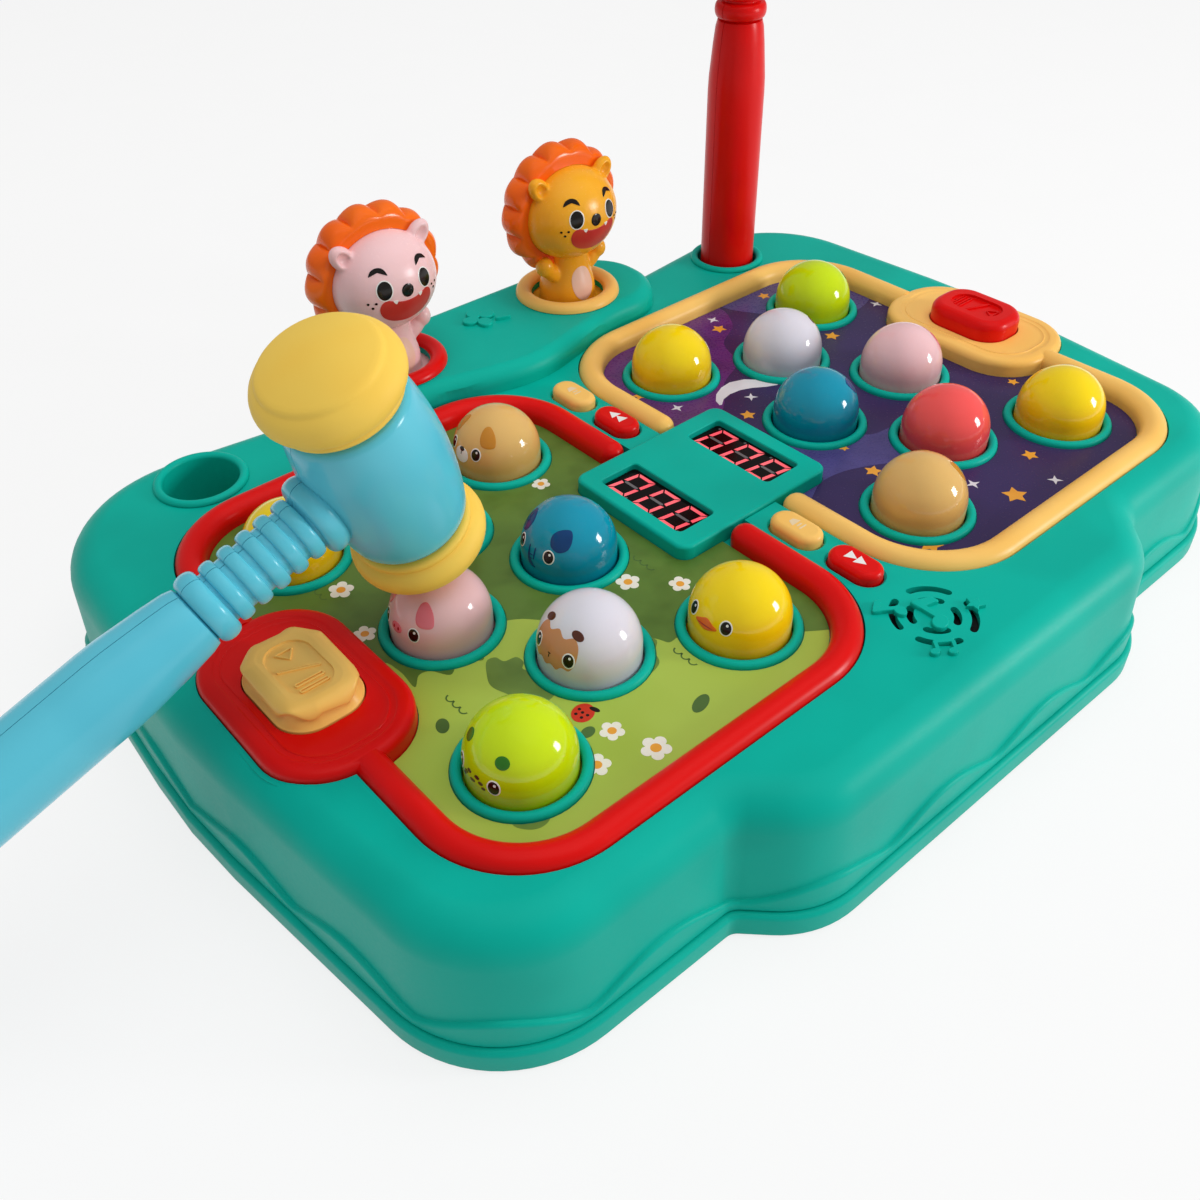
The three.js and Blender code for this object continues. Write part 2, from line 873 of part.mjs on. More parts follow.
// Dome: a ball that sinks into its collar, a flange that the pan's floor holds down, and a stem
function dome() {
  const centre = printTop + domeCentreRise;
  const flangeTop = panFloorBottom - seatGap;
  const flangeLow = flangeTop - domeFlangeThick;
  const crown = profileArc(0, centre, domeRadius, 0, quarterArc, domeSteps);
  crown[crown.length - 1][0] = 0;
  const shell = solid(
    revolved([
      [0, flangeLow],
      [domeRadius + domeFlange, flangeLow],
      [domeRadius + domeFlange, flangeTop],
      [domeRadius, flangeTop],
      ...crown,
    ]),
  );
  return shell.add(drill(domeStemRadius, [0, 0], domeStemLow, flangeTop, pinSteps));
}

// Scoreboard

function windowOutline(side, inset = 0) {
  const x = side < 0 ? -windowDayX : windowNightX;
  const corner = Math.max(windowCorner - inset, windowCorner / 2);
  return rectangle(windowWide - 2 * inset, windowLong - 2 * inset, corner, x, 0, coarseArc);
}

function scoreHousing() {
  const low = panFloorTop + seatGap;
  const high = deckTop + scoreTopRise;
  const body = solid(roundedPlate(scoreOutline(), low, high, scoreRound, 0, 2));
  const [under, over] = [low - cutOverrun, high + cutOverrun];
  const windows = sides.map((side) => solid(plate(windowOutline(side, -seatGap), under, over)));
  return without(body, windows);
}

function scoreWindow(side) {
  const high = deckTop + scoreTopRise - windowSink;
  return solid(plate(windowOutline(side), panFloorTop + seatGap, high));
}

// Circuit boards, with a switch under each button

function switchBoard(side) {
  const outline = rectangle(boardLong, boardWide, boardCorner, side * boardX, 0, coarseArc);
  const board = solid(plate(outline, boardTop - boardThick, boardTop));
  return joined([board, ...switches([...domePlaces(side), [side * paddleX, 0]], boardTop)]);
}

function mainBoard() {
  const outline = rectangle(mainBoardWide, mainBoardLong, mainBoardCorner, 0, 0, coarseArc);
  const board = solid(plate(outline, mainBoardTop - boardThick, mainBoardTop));
  return joined([board, ...switches(pillPlaces.map((y) => [0, y]), mainBoardTop)]);
}

function switches(places, top) {
  return places.map(([x, y]) => {
    const block = box(switchWidth, switchWidth, switchHeight + boardThick);
    return solid(moved(block, x, y, top + (switchHeight - boardThick) / 2));
  });
}

// Speaker under the grille: cone frame, magnet and a rim that seats against the deck
function speaker() {
  const top = deckUnder - seatGap;
  const profile = [
    [0, top - speakerDepth],
    [speakerMagnetRadius, top - speakerDepth],
    [speakerMagnetRadius, top - speakerConeDepth],
    [speakerRadius, top - coverWall],
    [speakerRadius, top],
    [speakerRadius - coverWall, top],
    [speakerMagnetRadius / 2, top - speakerConeDepth / 2],
    [0, top - speakerConeDepth / 2],
  ];
  return solid(moved(revolved(profile), 0, -speakerY, 0));
}

// Lions

// Ring round a lion's hole, half sunk in the platform
function lionRing(side) {
  const middle = lionRingOuter - lionRingTube;
  const low = platformTop + seatGap;
  const profile = profileArc(middle, low, lionRingTube, 0, halfArc, beadSteps);
  profile.push(profile[0]);
  return solid(moved(revolved(profile, largeSteps), side * lionX, lionY, 0));
}

function lionBody(side) {
  const flangeTop = platformUnder - seatGap;
  const headMiddle = platformTop + lionHeadRise;
  const profile = [
    [0, lionFootLow],
    [lionHoleRadius + lionFootFlange, lionFootLow],
    [lionHoleRadius + lionFootFlange, flangeTop],
    [lionBodyRadius, flangeTop],
    [lionBodyRadius, platformTop + lionPawRise / 2],
    [lionNeckRadius, platformTop + lionPawRise + lionPawSize / 2],
    [lionNeckRadius, headMiddle - lionHeadTall / 2 + lionPawSize / 2],
    [0, headMiddle],
  ];
  const trunk = solid(revolved(profile));
  const headShape = ball(lionHeadWide, lionHeadDeep, lionHeadTall, headSteps, headRings);
  const head = solid(moved(headShape, 0, -lionHeadForward, headMiddle));
  const ears = sides.map((ear) => {
    const shape = ball(lionEarSize, lionEarSize / 2, lionEarSize, stubSteps, stubRings);
    return solid(moved(shape, ear * lionEarX, -lionEarForward, headMiddle + lionEarRise));
  });
  const paws = sides.map((paw) => {
    const shape = ball(lionPawSize, lionPawSize, lionPawSize, stubSteps, stubRings);
    return solid(moved(shape, paw * lionPawX, -lionPawForward, platformTop + lionPawRise));
  });
  return joined([trunk, head, ...ears, ...paws]).translate([side * lionX, lionY, 0]);
}

// Mane: a lobed disc behind the head, cut round it
function lionMane(side) {
  const lobes = [];
  const steps = maneLobes * lobeSteps;
  for (let i = 0; i < steps; i += 1) {
    const angle = (fullTurn * i) / steps;
    const swell = maneLobeDepth * Math.abs(Math.cos((angle * maneLobes) / 2));
    const [wide, tall] = [maneWide / 2 - maneLobeDepth + swell, maneTall / 2 - maneLobeDepth + swell];
    const normal = new THREE.Vector2(Math.cos(angle) / wide, Math.sin(angle) / tall).normalize();
    lobes.push({ x: wide * Math.cos(angle), y: tall * Math.sin(angle), nx: normal.x, ny: normal.y });
  }
  const rings = [];
  const half = maneThick / 2;
  for (let i = 0; i <= edgeSteps; i += 1) {
    const angle = (halfTurn * i) / edgeSteps - quarterTurn;
    rings.push(ringAt(lobes, maneRound * (1 - Math.cos(angle)), half * Math.sin(angle)));
  }
  const shape = loft(rings).rotateX(quarterTurn);
  const mane = solid(moved(shape, side * lionX, lionY + maneBack, platformTop + maneRise));
  return without(mane, maneCuts(side));
}

// Room in the mane for the head and the trunk
function maneCuts(side) {
  const [wide, deep, tall] = [lionHeadWide, lionHeadDeep, lionHeadTall].map((size) => size + 2 * slideGap);
  const middle = platformTop + lionHeadRise;
  const shape = ball(wide, deep, tall, headSteps, headRings);
  const head = moved(shape, side * lionX, lionY - lionHeadForward, middle);
  const trunk = drill(lionBodyRadius + slideGap, [side * lionX, lionY], platformTop, middle);
  return [solid(head), trunk];
}

// Spring from the shoulder of its post to the underside of a lion
function lionSpring(side) {
  const low = springSeatTop + seatGap + springWire / 2;
  const high = lionFootLow - seatGap - springWire / 2;
  const points = [];
  const perTurn = springStepsPerTurn;
  for (let i = 0; i <= springTurns * perTurn; i += 1) {
    const angle = (fullTurn * i) / perTurn;
    const share = i / (springTurns * perTurn);
    const [x, y] = [springRadius * Math.cos(angle), springRadius * Math.sin(angle)];
    points.push(new THREE.Vector3(side * lionX + x, lionY + y, low + (high - low) * share));
  }
  return solid(swept(points, circleSection(springWire / 2, springSides), points.length - 1));
}

// Hammer sockets: blind cups whose rims sit on the deck
function socketCup(side) {
  const outer = socketRadius + socketWall;
  const floor = deckTop - socketDepth;
  const seat = deckTop + seatGap;
  const rimMiddle = (socketRimOuter + socketRadius) / 2;
  const crown = profileArc(rimMiddle, seat, socketRimOuter - rimMiddle, 0, halfArc, edgeSteps);
  const profile = [
    [0, floor - socketWall],
    [outer, floor - socketWall],
    [outer, seat],
    ...crown,
    [socketRadius, floor],
    [0, floor],
  ];
  return solid(moved(revolved(profile, largeSteps), side * socketX, socketY, 0));
}

// Hammers are made with the middle of the head at the origin, the handle along -Z and the head
// along X, and then placed

function handleProfile() {
  const pitch = (neckLength - neckRingWide) / ribCount;
  const bottom = -neckStart - neckLength - handleLength;
  const round = handleEndRadius / 2;
  const profile = [[0, bottom]];
  profile.push(...profileArc(handleEndRadius - round, bottom + round, round, -quarterArc, 0, 2));
  profile.push([handleEndRadius, -neckStart - neckLength - handleFlare]);
  profile.push([handleTopRadius, -neckStart - neckLength - neckRingWide / 2]);
  profile.push(...bead(-neckStart - neckLength, neckRingWide, neckRingRadius));
  for (let i = ribCount; i > 0; i -= 1) {
    profile.push(...bead(-neckStart - neckRingWide / 2 - (i - 1 / 2) * pitch, pitch, ribRadius));
  }
  profile.push(...bead(-neckStart, neckRingWide, neckRingRadius));
  profile.push([neckRadius, 0], [0, 0]);
  return profile;
}

// Profile of one rounded ring on the neck
function bead(middle, wide, radius) {
  const half = wide / 2;
  return [
    [neckRadius, middle - half],
    [radius, middle],
    [neckRadius, middle + half],
  ];
}

function barrelProfile() {
  const half = barrelLength / 2;
  const spigot = half + barrelSpigotLong;
  const profile = [[0, -spigot], [barrelSpigotRadius, -spigot], [barrelSpigotRadius, -half]];
  const steps = beadSteps;
  for (let i = 0; i <= steps; i += 1) {
    const share = (2 * i) / steps - 1;
    profile.push([barrelRadius - (barrelRadius - barrelEndRadius) * share * share, half * share]);
  }
  profile.push([barrelSpigotRadius, half], [barrelSpigotRadius, spigot], [0, spigot]);
  return profile;
}

// One half of the hammer's two-part shell; the seam runs through the head and the handle
function hammerShell(half) {
  const handle = solid(revolved(handleProfile(), handleSteps));
  const barrel = solid(revolved(barrelProfile(), largeSteps).rotateY(quarterTurn));
  const reach = headHalf + neckLength + handleLength;
  const side = box(2 * reach, reach, 4 * reach);
  const cut = solid(moved(side, 0, -half * (reach / 2 - seatGap / 2), 0));
  return barrel.add(handle).subtract(cut);
}

// Soft cap of one end of the head
function hammerCap(end) {
  const face = headHalf;
  const crownAt = (radius) => face - capCrownRadius + Math.sqrt(capCrownRadius ** 2 - radius ** 2);
  const inner = barrelLength / 2 + seatGap;
  const hole = barrelSpigotRadius + seatGap;
  const profile = [
    [0, face],
    [capFaceRadius / 2, crownAt(capFaceRadius / 2)],
    [capFaceRadius, crownAt(capFaceRadius)],
    [capStepRadius, face - capStepDepth],
    [capRadius, face - capWidestDepth],
    [(capRadius + capNeckRadius) / 2, (face - capWidestDepth + inner) / 2],
    [capNeckRadius, inner],
    [hole, inner],
    [hole, inner + barrelSpigotLong],
    [0, inner + barrelSpigotLong],
  ];
  return solid(revolved(profile, largeSteps).rotateY(end * quarterTurn));
}

function addHammer(name, shellLook, place) {
  const hammer = new THREE.Group();
  addPiece(`${name}_hammer_shell_left`, hammerShell(-1), shellLook, hammer);
  addPiece(`${name}_hammer_shell_right`, hammerShell(1), shellLook, hammer);
  addPiece(`${name}_hammer_cap_front`, hammerCap(-1), paint.butter, hammer);
  addPiece(`${name}_hammer_cap_back`, hammerCap(1), paint.butter, hammer);
  place(hammer);
  toy.add(hammer);
}

// The blue hammer's lower cap rests on the inner dome of the day field: the crown of the cap and
// the dome are both balls, so their middles lie a known distance apart
function placeOnDome(hammer) {
  const lean = quarterTurn - THREE.MathUtils.degToRad(restLean);
  hammer.rotation.set(0, lean, THREE.MathUtils.degToRad(restRoll), "YXZ");
  const domeMiddle = new THREE.Vector3(-fieldX - domeInnerX, 0, printTop + domeCentreRise);
  const reach = domeRadius + capCrownRadius + seatGap;
  const rise = Math.sqrt(reach ** 2 - restForward ** 2 - restAside ** 2);
  const crownMiddle = domeMiddle.add(new THREE.Vector3(-restForward, restAside, rise));
  const towardCap = new THREE.Vector3(headHalf - capCrownRadius, 0, 0).applyEuler(hammer.rotation);
  hammer.position.copy(crownMiddle.sub(towardCap));
}

function placeInSocket(hammer) {
  const floor = deckTop - socketDepth + seatGap;
  hammer.position.set(socketX, socketY, floor + neckStart + neckLength + handleLength);
}

// Underside

function trayShell(outline) {
  const rings = [
    ringAt(outline, 0, 0),
    ringAt(outline, 0, lipTop - lipRound),
    ringAt(outline, lipRound, lipTop),
  ];
  const hollow = plate(outline, trayFloor, lipTop + cutOverrun, wallTopInset + coverWall);
  return solid(loft(rings)).subtract(solid(hollow));
}

function doorOutline(grow = 0) {
  return rectangle(doorWide + 2 * grow, doorLong + 2 * grow, doorCorner, doorX, doorY, coarseArc);
}

function trayPosts() {
  const posts = [];
  const boardUnder = boardTop - boardThick - seatGap;
  for (const side of sides) {
    for (const [x, y] of [[-postX, -postY], [-postX, postY], [postX, -postY], [postX, postY]]) {
      posts.push(drill(postRadius, [side * boardX + x, y], 0, boardUnder, pinSteps));
    }
    posts.push(drill(springRadius + springWire, [side * lionX, lionY], 0, springSeatTop));
    posts.push(drill(springPinRadius, [side * lionX, lionY], 0, springPinTop));
  }
  const mainUnder = mainBoardTop - boardThick - seatGap;
  for (const y of [-mainBoardLong / 2 + mainBoardWide / 2, mainBoardLong / 2 - mainBoardWide / 2]) {
    posts.push(drill(postRadius, [0, y], 0, mainUnder, pinSteps));
  }
  return posts;
}

function switchOutline(grow, travel) {
  const [wide, long] = [switchWide + 2 * grow, switchLong + travel + 2 * grow];
  return rectangle(wide, long, switchCorner, switchX, switchY + travel / 2, coarseArc);
}

// Tray: a floor with a lip, posts, and a battery bay with a ledge for its door
function baseTray() {
  const ledgeTop = doorThick + seatGap;
  const adds = [
    trayShell(bodyOutline(plainArc, Infinity)),
    ...trayPosts(),
    solid(plate(doorOutline(seatGap + trayWall), 0, ledgeTop + trayWall)),
    solid(plate(doorOutline(trayWall - doorLedge), 0, batteryDepth + trayWall)),
    drill(screwBossRadius, screwPlace, 0, screwTop + trayWall),
    solid(plate(switchOutline(switchWell + trayWall, switchTravel), 0, switchFloor)),
  ];
  const cuts = [
    solid(plate(doorOutline(-doorLedge), -cutOverrun, batteryDepth)),
    solid(plate(doorOutline(seatGap), -cutOverrun, ledgeTop)),
    drill(screwShankRadius + seatGap, screwPlace, -cutOverrun, screwTop + seatGap),
    solid(plate(switchOutline(switchWell, switchTravel), -cutOverrun, switchWellDepth)),
    solid(plate(switchOutline(slideGap, switchTravel), -cutOverrun, switchFloor + cutOverrun)),
    ...footPlaces.map((place) => drill(footRadius + seatGap, place, -cutOverrun, footThick + seatGap)),
    ...footPlaces.map((place) => drill(footPlugRadius + seatGap, place, -cutOverrun, cutOverrun, pinSteps)),
  ];
  return without(joined(adds), cuts);
}

function batteryDoor() {
  const door = solid(plate(doorOutline(), 0, doorThick));
  const sink = drill(screwHeadRadius + seatGap, screwPlace, -cutOverrun, screwHeadThick + seatGap);
  const hole = drill(screwShankRadius + seatGap, screwPlace, -cutOverrun, cutOverrun);
  return without(door, [sink, hole]);
}

function doorScrew() {
  const head = drill(screwHeadRadius, screwPlace, 0, screwHeadThick);
  return head.add(drill(screwShankRadius, screwPlace, 0, screwTop));
}

function rubberFoot(place) {
  const pad = drill(footRadius, place, 0, footThick);
  return pad.add(drill(footPlugRadius, place, 0, trayFloor, pinSteps));
}

function powerSwitch() {
  const top = switchFloor + seatGap;
  const knob = solid(plate(switchOutline(0, 0), switchWellDepth - switchProud, top));
  const grow = switchFlange + slideGap;
  return knob.add(solid(plate(switchOutline(grow, 0), top, top + trayWall)));
}

// Assembly

const times = ["day", "night"];
const animals = ["frog", "chick", "duck", "dog", "sheep", "crab", "pig", "elephant"];
const domeLooks = ["lime", "yellow", "yellow", "tan", "white", "coral", "pink", "blue"];
const frameNames = ["red_frame", "cream_frame"];
const frameLooks = ["red", "cream"];
const sheetLooks = ["meadow", "night"];
const lionNames = ["pink_lion", "amber_lion"];
const lionLooks = ["blush", "amber"];
const ringLooks = ["red", "cream"];
const pillNames = ["front_outer", "front_inner", "rear_inner", "rear_outer"];
const pillLooks = ["red", "cream", "red", "cream"];
const footNames = ["front_left", "front_right", "rear_left", "rear_right"];

addPiece("base_tray", baseTray(), paint.teal);
addPiece("top_cover", topCover(), paint.teal);
addPiece("score_housing", scoreHousing(), paint.teal);
addPiece("speaker", speaker(), paint.black);
addPiece("main_board", mainBoard(), paint.board);
addPiece("battery_door", batteryDoor(), paint.teal);
addPiece("battery_door_screw", doorScrew(), paint.steel);
addPiece("power_switch", powerSwitch(), paint.black);
footPlaces.forEach((place, i) => addPiece(`${footNames[i]}_foot`, rubberFoot(place), paint.rubber));
pillPlaces.forEach((y, i) => addPiece(`${pillNames[i]}_button`, pillButton(y), paint[pillLooks[i]]));

const plainDome = dome();
sides.forEach((side, i) => {
  addPiece(`${times[i]}_sheet`, fieldSheet(side), paint[sheetLooks[i]]);
  addPiece(frameNames[i], fieldFrame(side), paint[frameLooks[i]]);
  addPiece(`${times[i]}_start_button`, startButton(side), paint[frameLooks[1 - i]]);
  addPiece(`${times[i]}_score_window`, scoreWindow(side), paint.glass);
  addPiece(`${times[i]}_switch_board`, switchBoard(side), paint.board);
  addPiece(`${lionNames[i]}_ring`, lionRing(side), paint[ringLooks[i]]);
  addPiece(`${lionNames[i]}_spring`, lionSpring(side), paint.steel);
  addPiece(i === 0 ? "empty_socket_cup" : "hammer_socket_cup", socketCup(side), paint.teal);
  addPiece(`${lionNames[i]}_body`, lionBody(side), paint[lionLooks[i]]);
  addPiece(`${lionNames[i]}_mane`, lionMane(side), paint.orange);
  domePlaces(side).forEach(([x, y], k) => {
    const mesh = addPiece(`${times[i]}_${animals[k]}_dome`, plainDome, paint[domeLooks[k]]);
    mesh.position.set(x, y, 0);
  });
});

addHammer("blue", paint.sky, placeOnDome);
addHammer("red", paint.red, placeInSocket);

export default toy;
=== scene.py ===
"""Dresses the two-player whack-a-mole toy: moulded body, fields of animal domes, lions and hammers."""

import logging
import math
from dataclasses import dataclass
from enum import Enum
from typing import Callable, Optional, Sequence, Union

import bmesh
import bpy
from mathutils import Matrix, Vector


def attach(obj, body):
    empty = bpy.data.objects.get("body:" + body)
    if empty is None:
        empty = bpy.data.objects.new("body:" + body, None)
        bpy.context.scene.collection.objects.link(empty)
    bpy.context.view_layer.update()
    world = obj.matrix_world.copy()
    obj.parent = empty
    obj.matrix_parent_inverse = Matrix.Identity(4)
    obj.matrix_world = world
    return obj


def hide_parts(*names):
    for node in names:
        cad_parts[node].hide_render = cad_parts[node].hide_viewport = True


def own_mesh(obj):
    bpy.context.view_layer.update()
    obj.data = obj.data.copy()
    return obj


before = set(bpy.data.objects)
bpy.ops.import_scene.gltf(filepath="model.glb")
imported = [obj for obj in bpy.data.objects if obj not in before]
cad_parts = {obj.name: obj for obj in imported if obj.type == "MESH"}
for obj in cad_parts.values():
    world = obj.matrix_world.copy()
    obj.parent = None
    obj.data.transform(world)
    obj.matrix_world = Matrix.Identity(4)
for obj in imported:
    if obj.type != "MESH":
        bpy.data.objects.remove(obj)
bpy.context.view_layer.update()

LOG = logging.getLogger("toy")
MM = 0.001
SIDES = (-1, 1)
TIMES = ("day", "night")
FINE_MERGE = 1e-6
BORE = (40, 70)  # heights between which holes are bored through the cover and its parts

Flat = tuple[float, float]
Point = tuple[float, float, float]
Ring = list[Point]
Piece = bpy.types.Object
Height = Union[float, Callable[["Sample"], float]]


# Forms


@dataclass(frozen=True)
class Sample:
    """One point of a plan outline, with its outward normal and its distance along the outline."""

    x: float
    y: float
    nx: float
    ny: float
    along: float = 0.0


@dataclass
class Outline:
    """A closed plan outline, counter-clockwise."""

    samples: list[Sample]

    @property
    def total(self) -> float:
        """Length of the whole outline."""
        first, last = self.samples[0], self.samples[-1]
        return last.along + math.hypot(first.x - last.x, first.y - last.y)

    def ring(self, inset: float, height: Height) -> Ring:
        """One ring of a loft.

        Args:
            inset: How far the ring lies inside the outline, in mm.
            height: Height in mm, or a function of the sample that gives it.

        Returns:
            The ring's points in mm.
        """
        high = height if callable(height) else (lambda sample: height)
        return [(s.x - s.nx * inset, s.y - s.ny * inset, high(s)) for s in self.samples]


def rounded(corners: Sequence[Point], arc: float = 7.5, longest: float = 1e9) -> Outline:
    """Plan outline with rounded corners.

    Args:
        corners: Corner x, y and radius in mm, counter-clockwise.
        arc: Turn between neighbouring samples of a corner, in degrees.
        longest: Greatest distance between samples of a straight side, in mm.

    Returns:
        The outline.
    """
    count = len(corners)
    bends = []
    for i, (x, y, radius) in enumerate(corners):
        corner = Vector((x, y))
        into = (corner - Vector(corners[i - 1][:2])).normalized()
        out = (Vector(corners[(i + 1) % count][:2]) - corner).normalized()
        turn = math.atan2(into.x * out.y - into.y * out.x, into.dot(out))
        bends.append((corner, radius, into, out, turn, radius * abs(math.tan(turn / 2))))
    points: list[tuple[float, float, float, float]] = []
    for i, (corner, radius, into, out, turn, reach) in enumerate(bends):
        following = bends[(i + 1) % count]
        side = math.copysign(1, turn)
        start = math.atan2(-into.x * side, into.y * side)
        centre = corner - into * reach + Vector((-into.y, into.x)) * radius * side
        steps = max(1, round(abs(math.degrees(turn)) / arc))
        for k in range(steps + 1):
            angle = start + turn * k / steps
            nx, ny = math.cos(angle), math.sin(angle)
            points.append((centre.x + radius * nx, centre.y + radius * ny, nx * side, ny * side))
        length = (following[0] - following[2] * following[5] - corner - out * reach).length
        parts = math.ceil(length / longest)
        for k in range(1, parts):
            at = corner + out * (reach + length * k / parts)
            points.append((at.x, at.y, out.y, -out.x))
    samples: list[Sample] = []
    along = 0.0
    for i, (x, y, nx, ny) in enumerate(points):
        along += math.hypot(x - points[i - 1][0], y - points[i - 1][1]) if i else 0.0
        samples.append(Sample(x, y, nx, ny, along))
    return Outline(samples)


def rectangle(wide: float, long: float, corner: float, x: float = 0, y: float = 0) -> Outline:
    """Rounded rectangle in plan, its sizes and its middle in mm."""
    a, b = wide / 2, long / 2
    return rounded([(x + i * a, y + j * b, corner) for i, j in ((1, -1), (1, 1), (-1, 1), (-1, -1))])


def around(count: int) -> list[float]:
    """Angles spread evenly round a circle."""
    return [2 * math.pi * i / count for i in range(count)]


def arc_points(radius: float, height: float, size: float, start: float, end: float, steps: int) -> list[Flat]:
    """Points on an arc of a profile.

    Args:
        radius: Distance of the arc's middle from the axis in mm.
        height: Height of the arc's middle.
        size: Radius of the arc.
        start: First angle in degrees.
        end: Last angle in degrees.
        steps: Number of chords.

    Returns:
        Pairs of radius and height.
    """
    angles = [math.radians(start + (end - start) * i / steps) for i in range(steps + 1)]
    return [(radius + size * math.cos(a), height + size * math.sin(a)) for a in angles]


def pick(*pieces: Piece) -> None:
    """Select only these pieces; the last one is active.

    Args:
        pieces: The pieces.
    """
    bpy.ops.object.select_all(action="DESELECT")
    for piece in pieces:
        piece.select_set(True)
    bpy.context.view_layer.objects.active = pieces[-1]


def loft(name: str, rings: Sequence[Ring]) -> Piece:
    """Closed body drawn out of a circle ring by ring; open ends get a face.

    Args:
        name: The piece's name.
        rings: Rings of equal counts, in mm; a ring of one repeated point closes to a pole.

    Returns:
        The piece.
    """
    count = len(rings[0])
    bpy.ops.object.select_all(action="DESELECT")
    bpy.ops.mesh.primitive_circle_add(vertices=count, radius=MM, enter_editmode=True)
    piece = bpy.context.object
    piece.name = name
    seat = bmesh.from_edit_mesh(piece.data).verts.layers.int.new("seat")
    for index, vert in enumerate(bmesh.from_edit_mesh(piece.data).verts):
        vert[seat] = index
    for number, ring in enumerate(rings):
        if number:
            bpy.ops.mesh.extrude_edges_indiv()
        mesh = bmesh.from_edit_mesh(piece.data)
        seat = mesh.verts.layers.int["seat"]
        mesh.verts.ensure_lookup_table()
        for vert in mesh.verts[-count:]:
            vert.co = Vector(ring[vert[seat]]) * MM
    bpy.ops.mesh.select_all(action="SELECT")
    bpy.ops.mesh.remove_doubles(threshold=FINE_MERGE)
    bpy.ops.mesh.fill_holes(sides=0)
    bpy.ops.mesh.select_all(action="SELECT")
    bpy.ops.mesh.normals_make_consistent(inside=False)
    bpy.ops.object.mode_set(mode="OBJECT")
    piece.data.attributes.remove(piece.data.attributes["seat"])
    return piece


def upright(name: str, shape: Sequence[Flat], low: float, high: float) -> Piece:
    """Upright body over a plain outline, from one height to another."""
    return loft(name, [[(x, y, z) for x, y in shape] for z in (low, high)])


def plate(name: str, outline: Outline, low: float, high: float, inset: float = 0) -> Piece:
    """Upright plate over an outline of samples, from one height to another."""
    return loft(name, [outline.ring(inset, low), outline.ring(inset, high)])


def soft_plate(name: str, outline: Outline, low: float, high: float, soft: float) -> Piece:
    """Plate whose top edge is rounded by a radius in mm."""
    crown = [outline.ring(r, high + z) for r, z in arc_points(soft, -soft, soft, 180, 90, 6)]
    return loft(name, [outline.ring(0, low), *crown])


def turned(name: str, profile: Sequence[Flat], steps: int = 48) -> Piece:
    """Body of revolution about Z.

    Args:
        name: The piece's name.
        profile: Pairs of radius and height in mm, from the axis to the axis, or closed on itself.
        steps: Faces round it.

    Returns:
        The piece.
    """
    return loft(name, [[(r * math.cos(a), r * math.sin(a), z) for a in around(steps)] for r, z in profile])


def moved(piece: Piece, x: float, y: float, z: float = 0) -> Piece:
    """Move a piece's mesh by a distance in mm."""
    piece.data.transform(Matrix.Translation(Vector((x, y, z)) * MM))
    return piece


def peg(x: float, y: float, radius: float, low: float, high: float, steps: int = 24) -> Piece:
    """Plain round peg, as a tool or a post."""
    return moved(turned("peg", [(0, low), (radius, low), (radius, high), (0, high)], steps), x, y)


def twin(piece: Piece, name: str, change: Matrix) -> Piece:
    """A copy of a piece with a mesh of its own, carried to another place.

    Args:
        piece: The piece.
        name: The copy's name.
        change: From the piece's place to the copy's.

    Returns:
        The copy.
    """
    copy = piece.copy()
    copy.data = piece.data.copy()
    copy.name = name
    bpy.context.scene.collection.objects.link(copy)
    copy.data.transform(change)
    return copy


def joined(name: str, pieces: Sequence[Piece]) -> Piece:
    """Several bodies as one piece.

    Args:
        name: The piece's name.
        pieces: The bodies.

    Returns:
        The piece.
    """
    pick(*pieces)
    if len(pieces) > 1:
        bpy.ops.object.join()
    bpy.context.object.name = name
    return bpy.context.object


class Cut(Enum):
    """What a tool body does to a piece."""

    AWAY = "DIFFERENCE"
    ADD = "UNION"
    KEEP = "INTERSECT"


def cut(piece: Piece, tools: Sequence[Piece], how: Cut = Cut.AWAY) -> Piece:
    """Cut tool bodies that don't overlap one another out of a piece, or add them to it.

    Args:
        piece: The piece.
        tools: The tool bodies, which are used up.
        how: What they do.

    Returns:
        The piece.
    """
    tool = joined("tool", tools)
    pick(piece)
    step = piece.modifiers.new("cut", "BOOLEAN")
    step.operation, step.solver, step.object = how.value, "MANIFOLD", tool
    bpy.ops.object.modifier_apply(modifier=step.name)
    bpy.data.objects.remove(tool)
    return piece


def smoothed(piece: Piece, angle: float = 34) -> Piece:
    """Shade a piece smooth up to an angle in degrees, its large faces kept flat.

    Args:
        piece: The piece.
        angle: Sharper edges than this stay edges.

    Returns:
        The piece.
    """
    pick(piece)
    bpy.ops.object.shade_smooth_by_angle(angle=math.radians(angle))
    step = piece.modifiers.new("even", "WEIGHTED_NORMAL")
    step.keep_sharp = True
    bpy.ops.object.modifier_apply(modifier=step.name)
    return piece


# Finishes


def linear(colour: str) -> tuple[float, float, float, float]:
    """Linear red, green, blue and alpha of a colour written as six hexadecimal digits.

    Args:
        colour: The digits.

    Returns:
        The four values.
    """
    parts = [int(colour[i : i + 2], 16) / 255 for i in (0, 2, 4)]
    r, g, b = [c / 12.92 if c <= 0.04045 else ((c + 0.055) / 1.055) ** 2.4 for c in parts]
    return (r, g, b, 1.0)


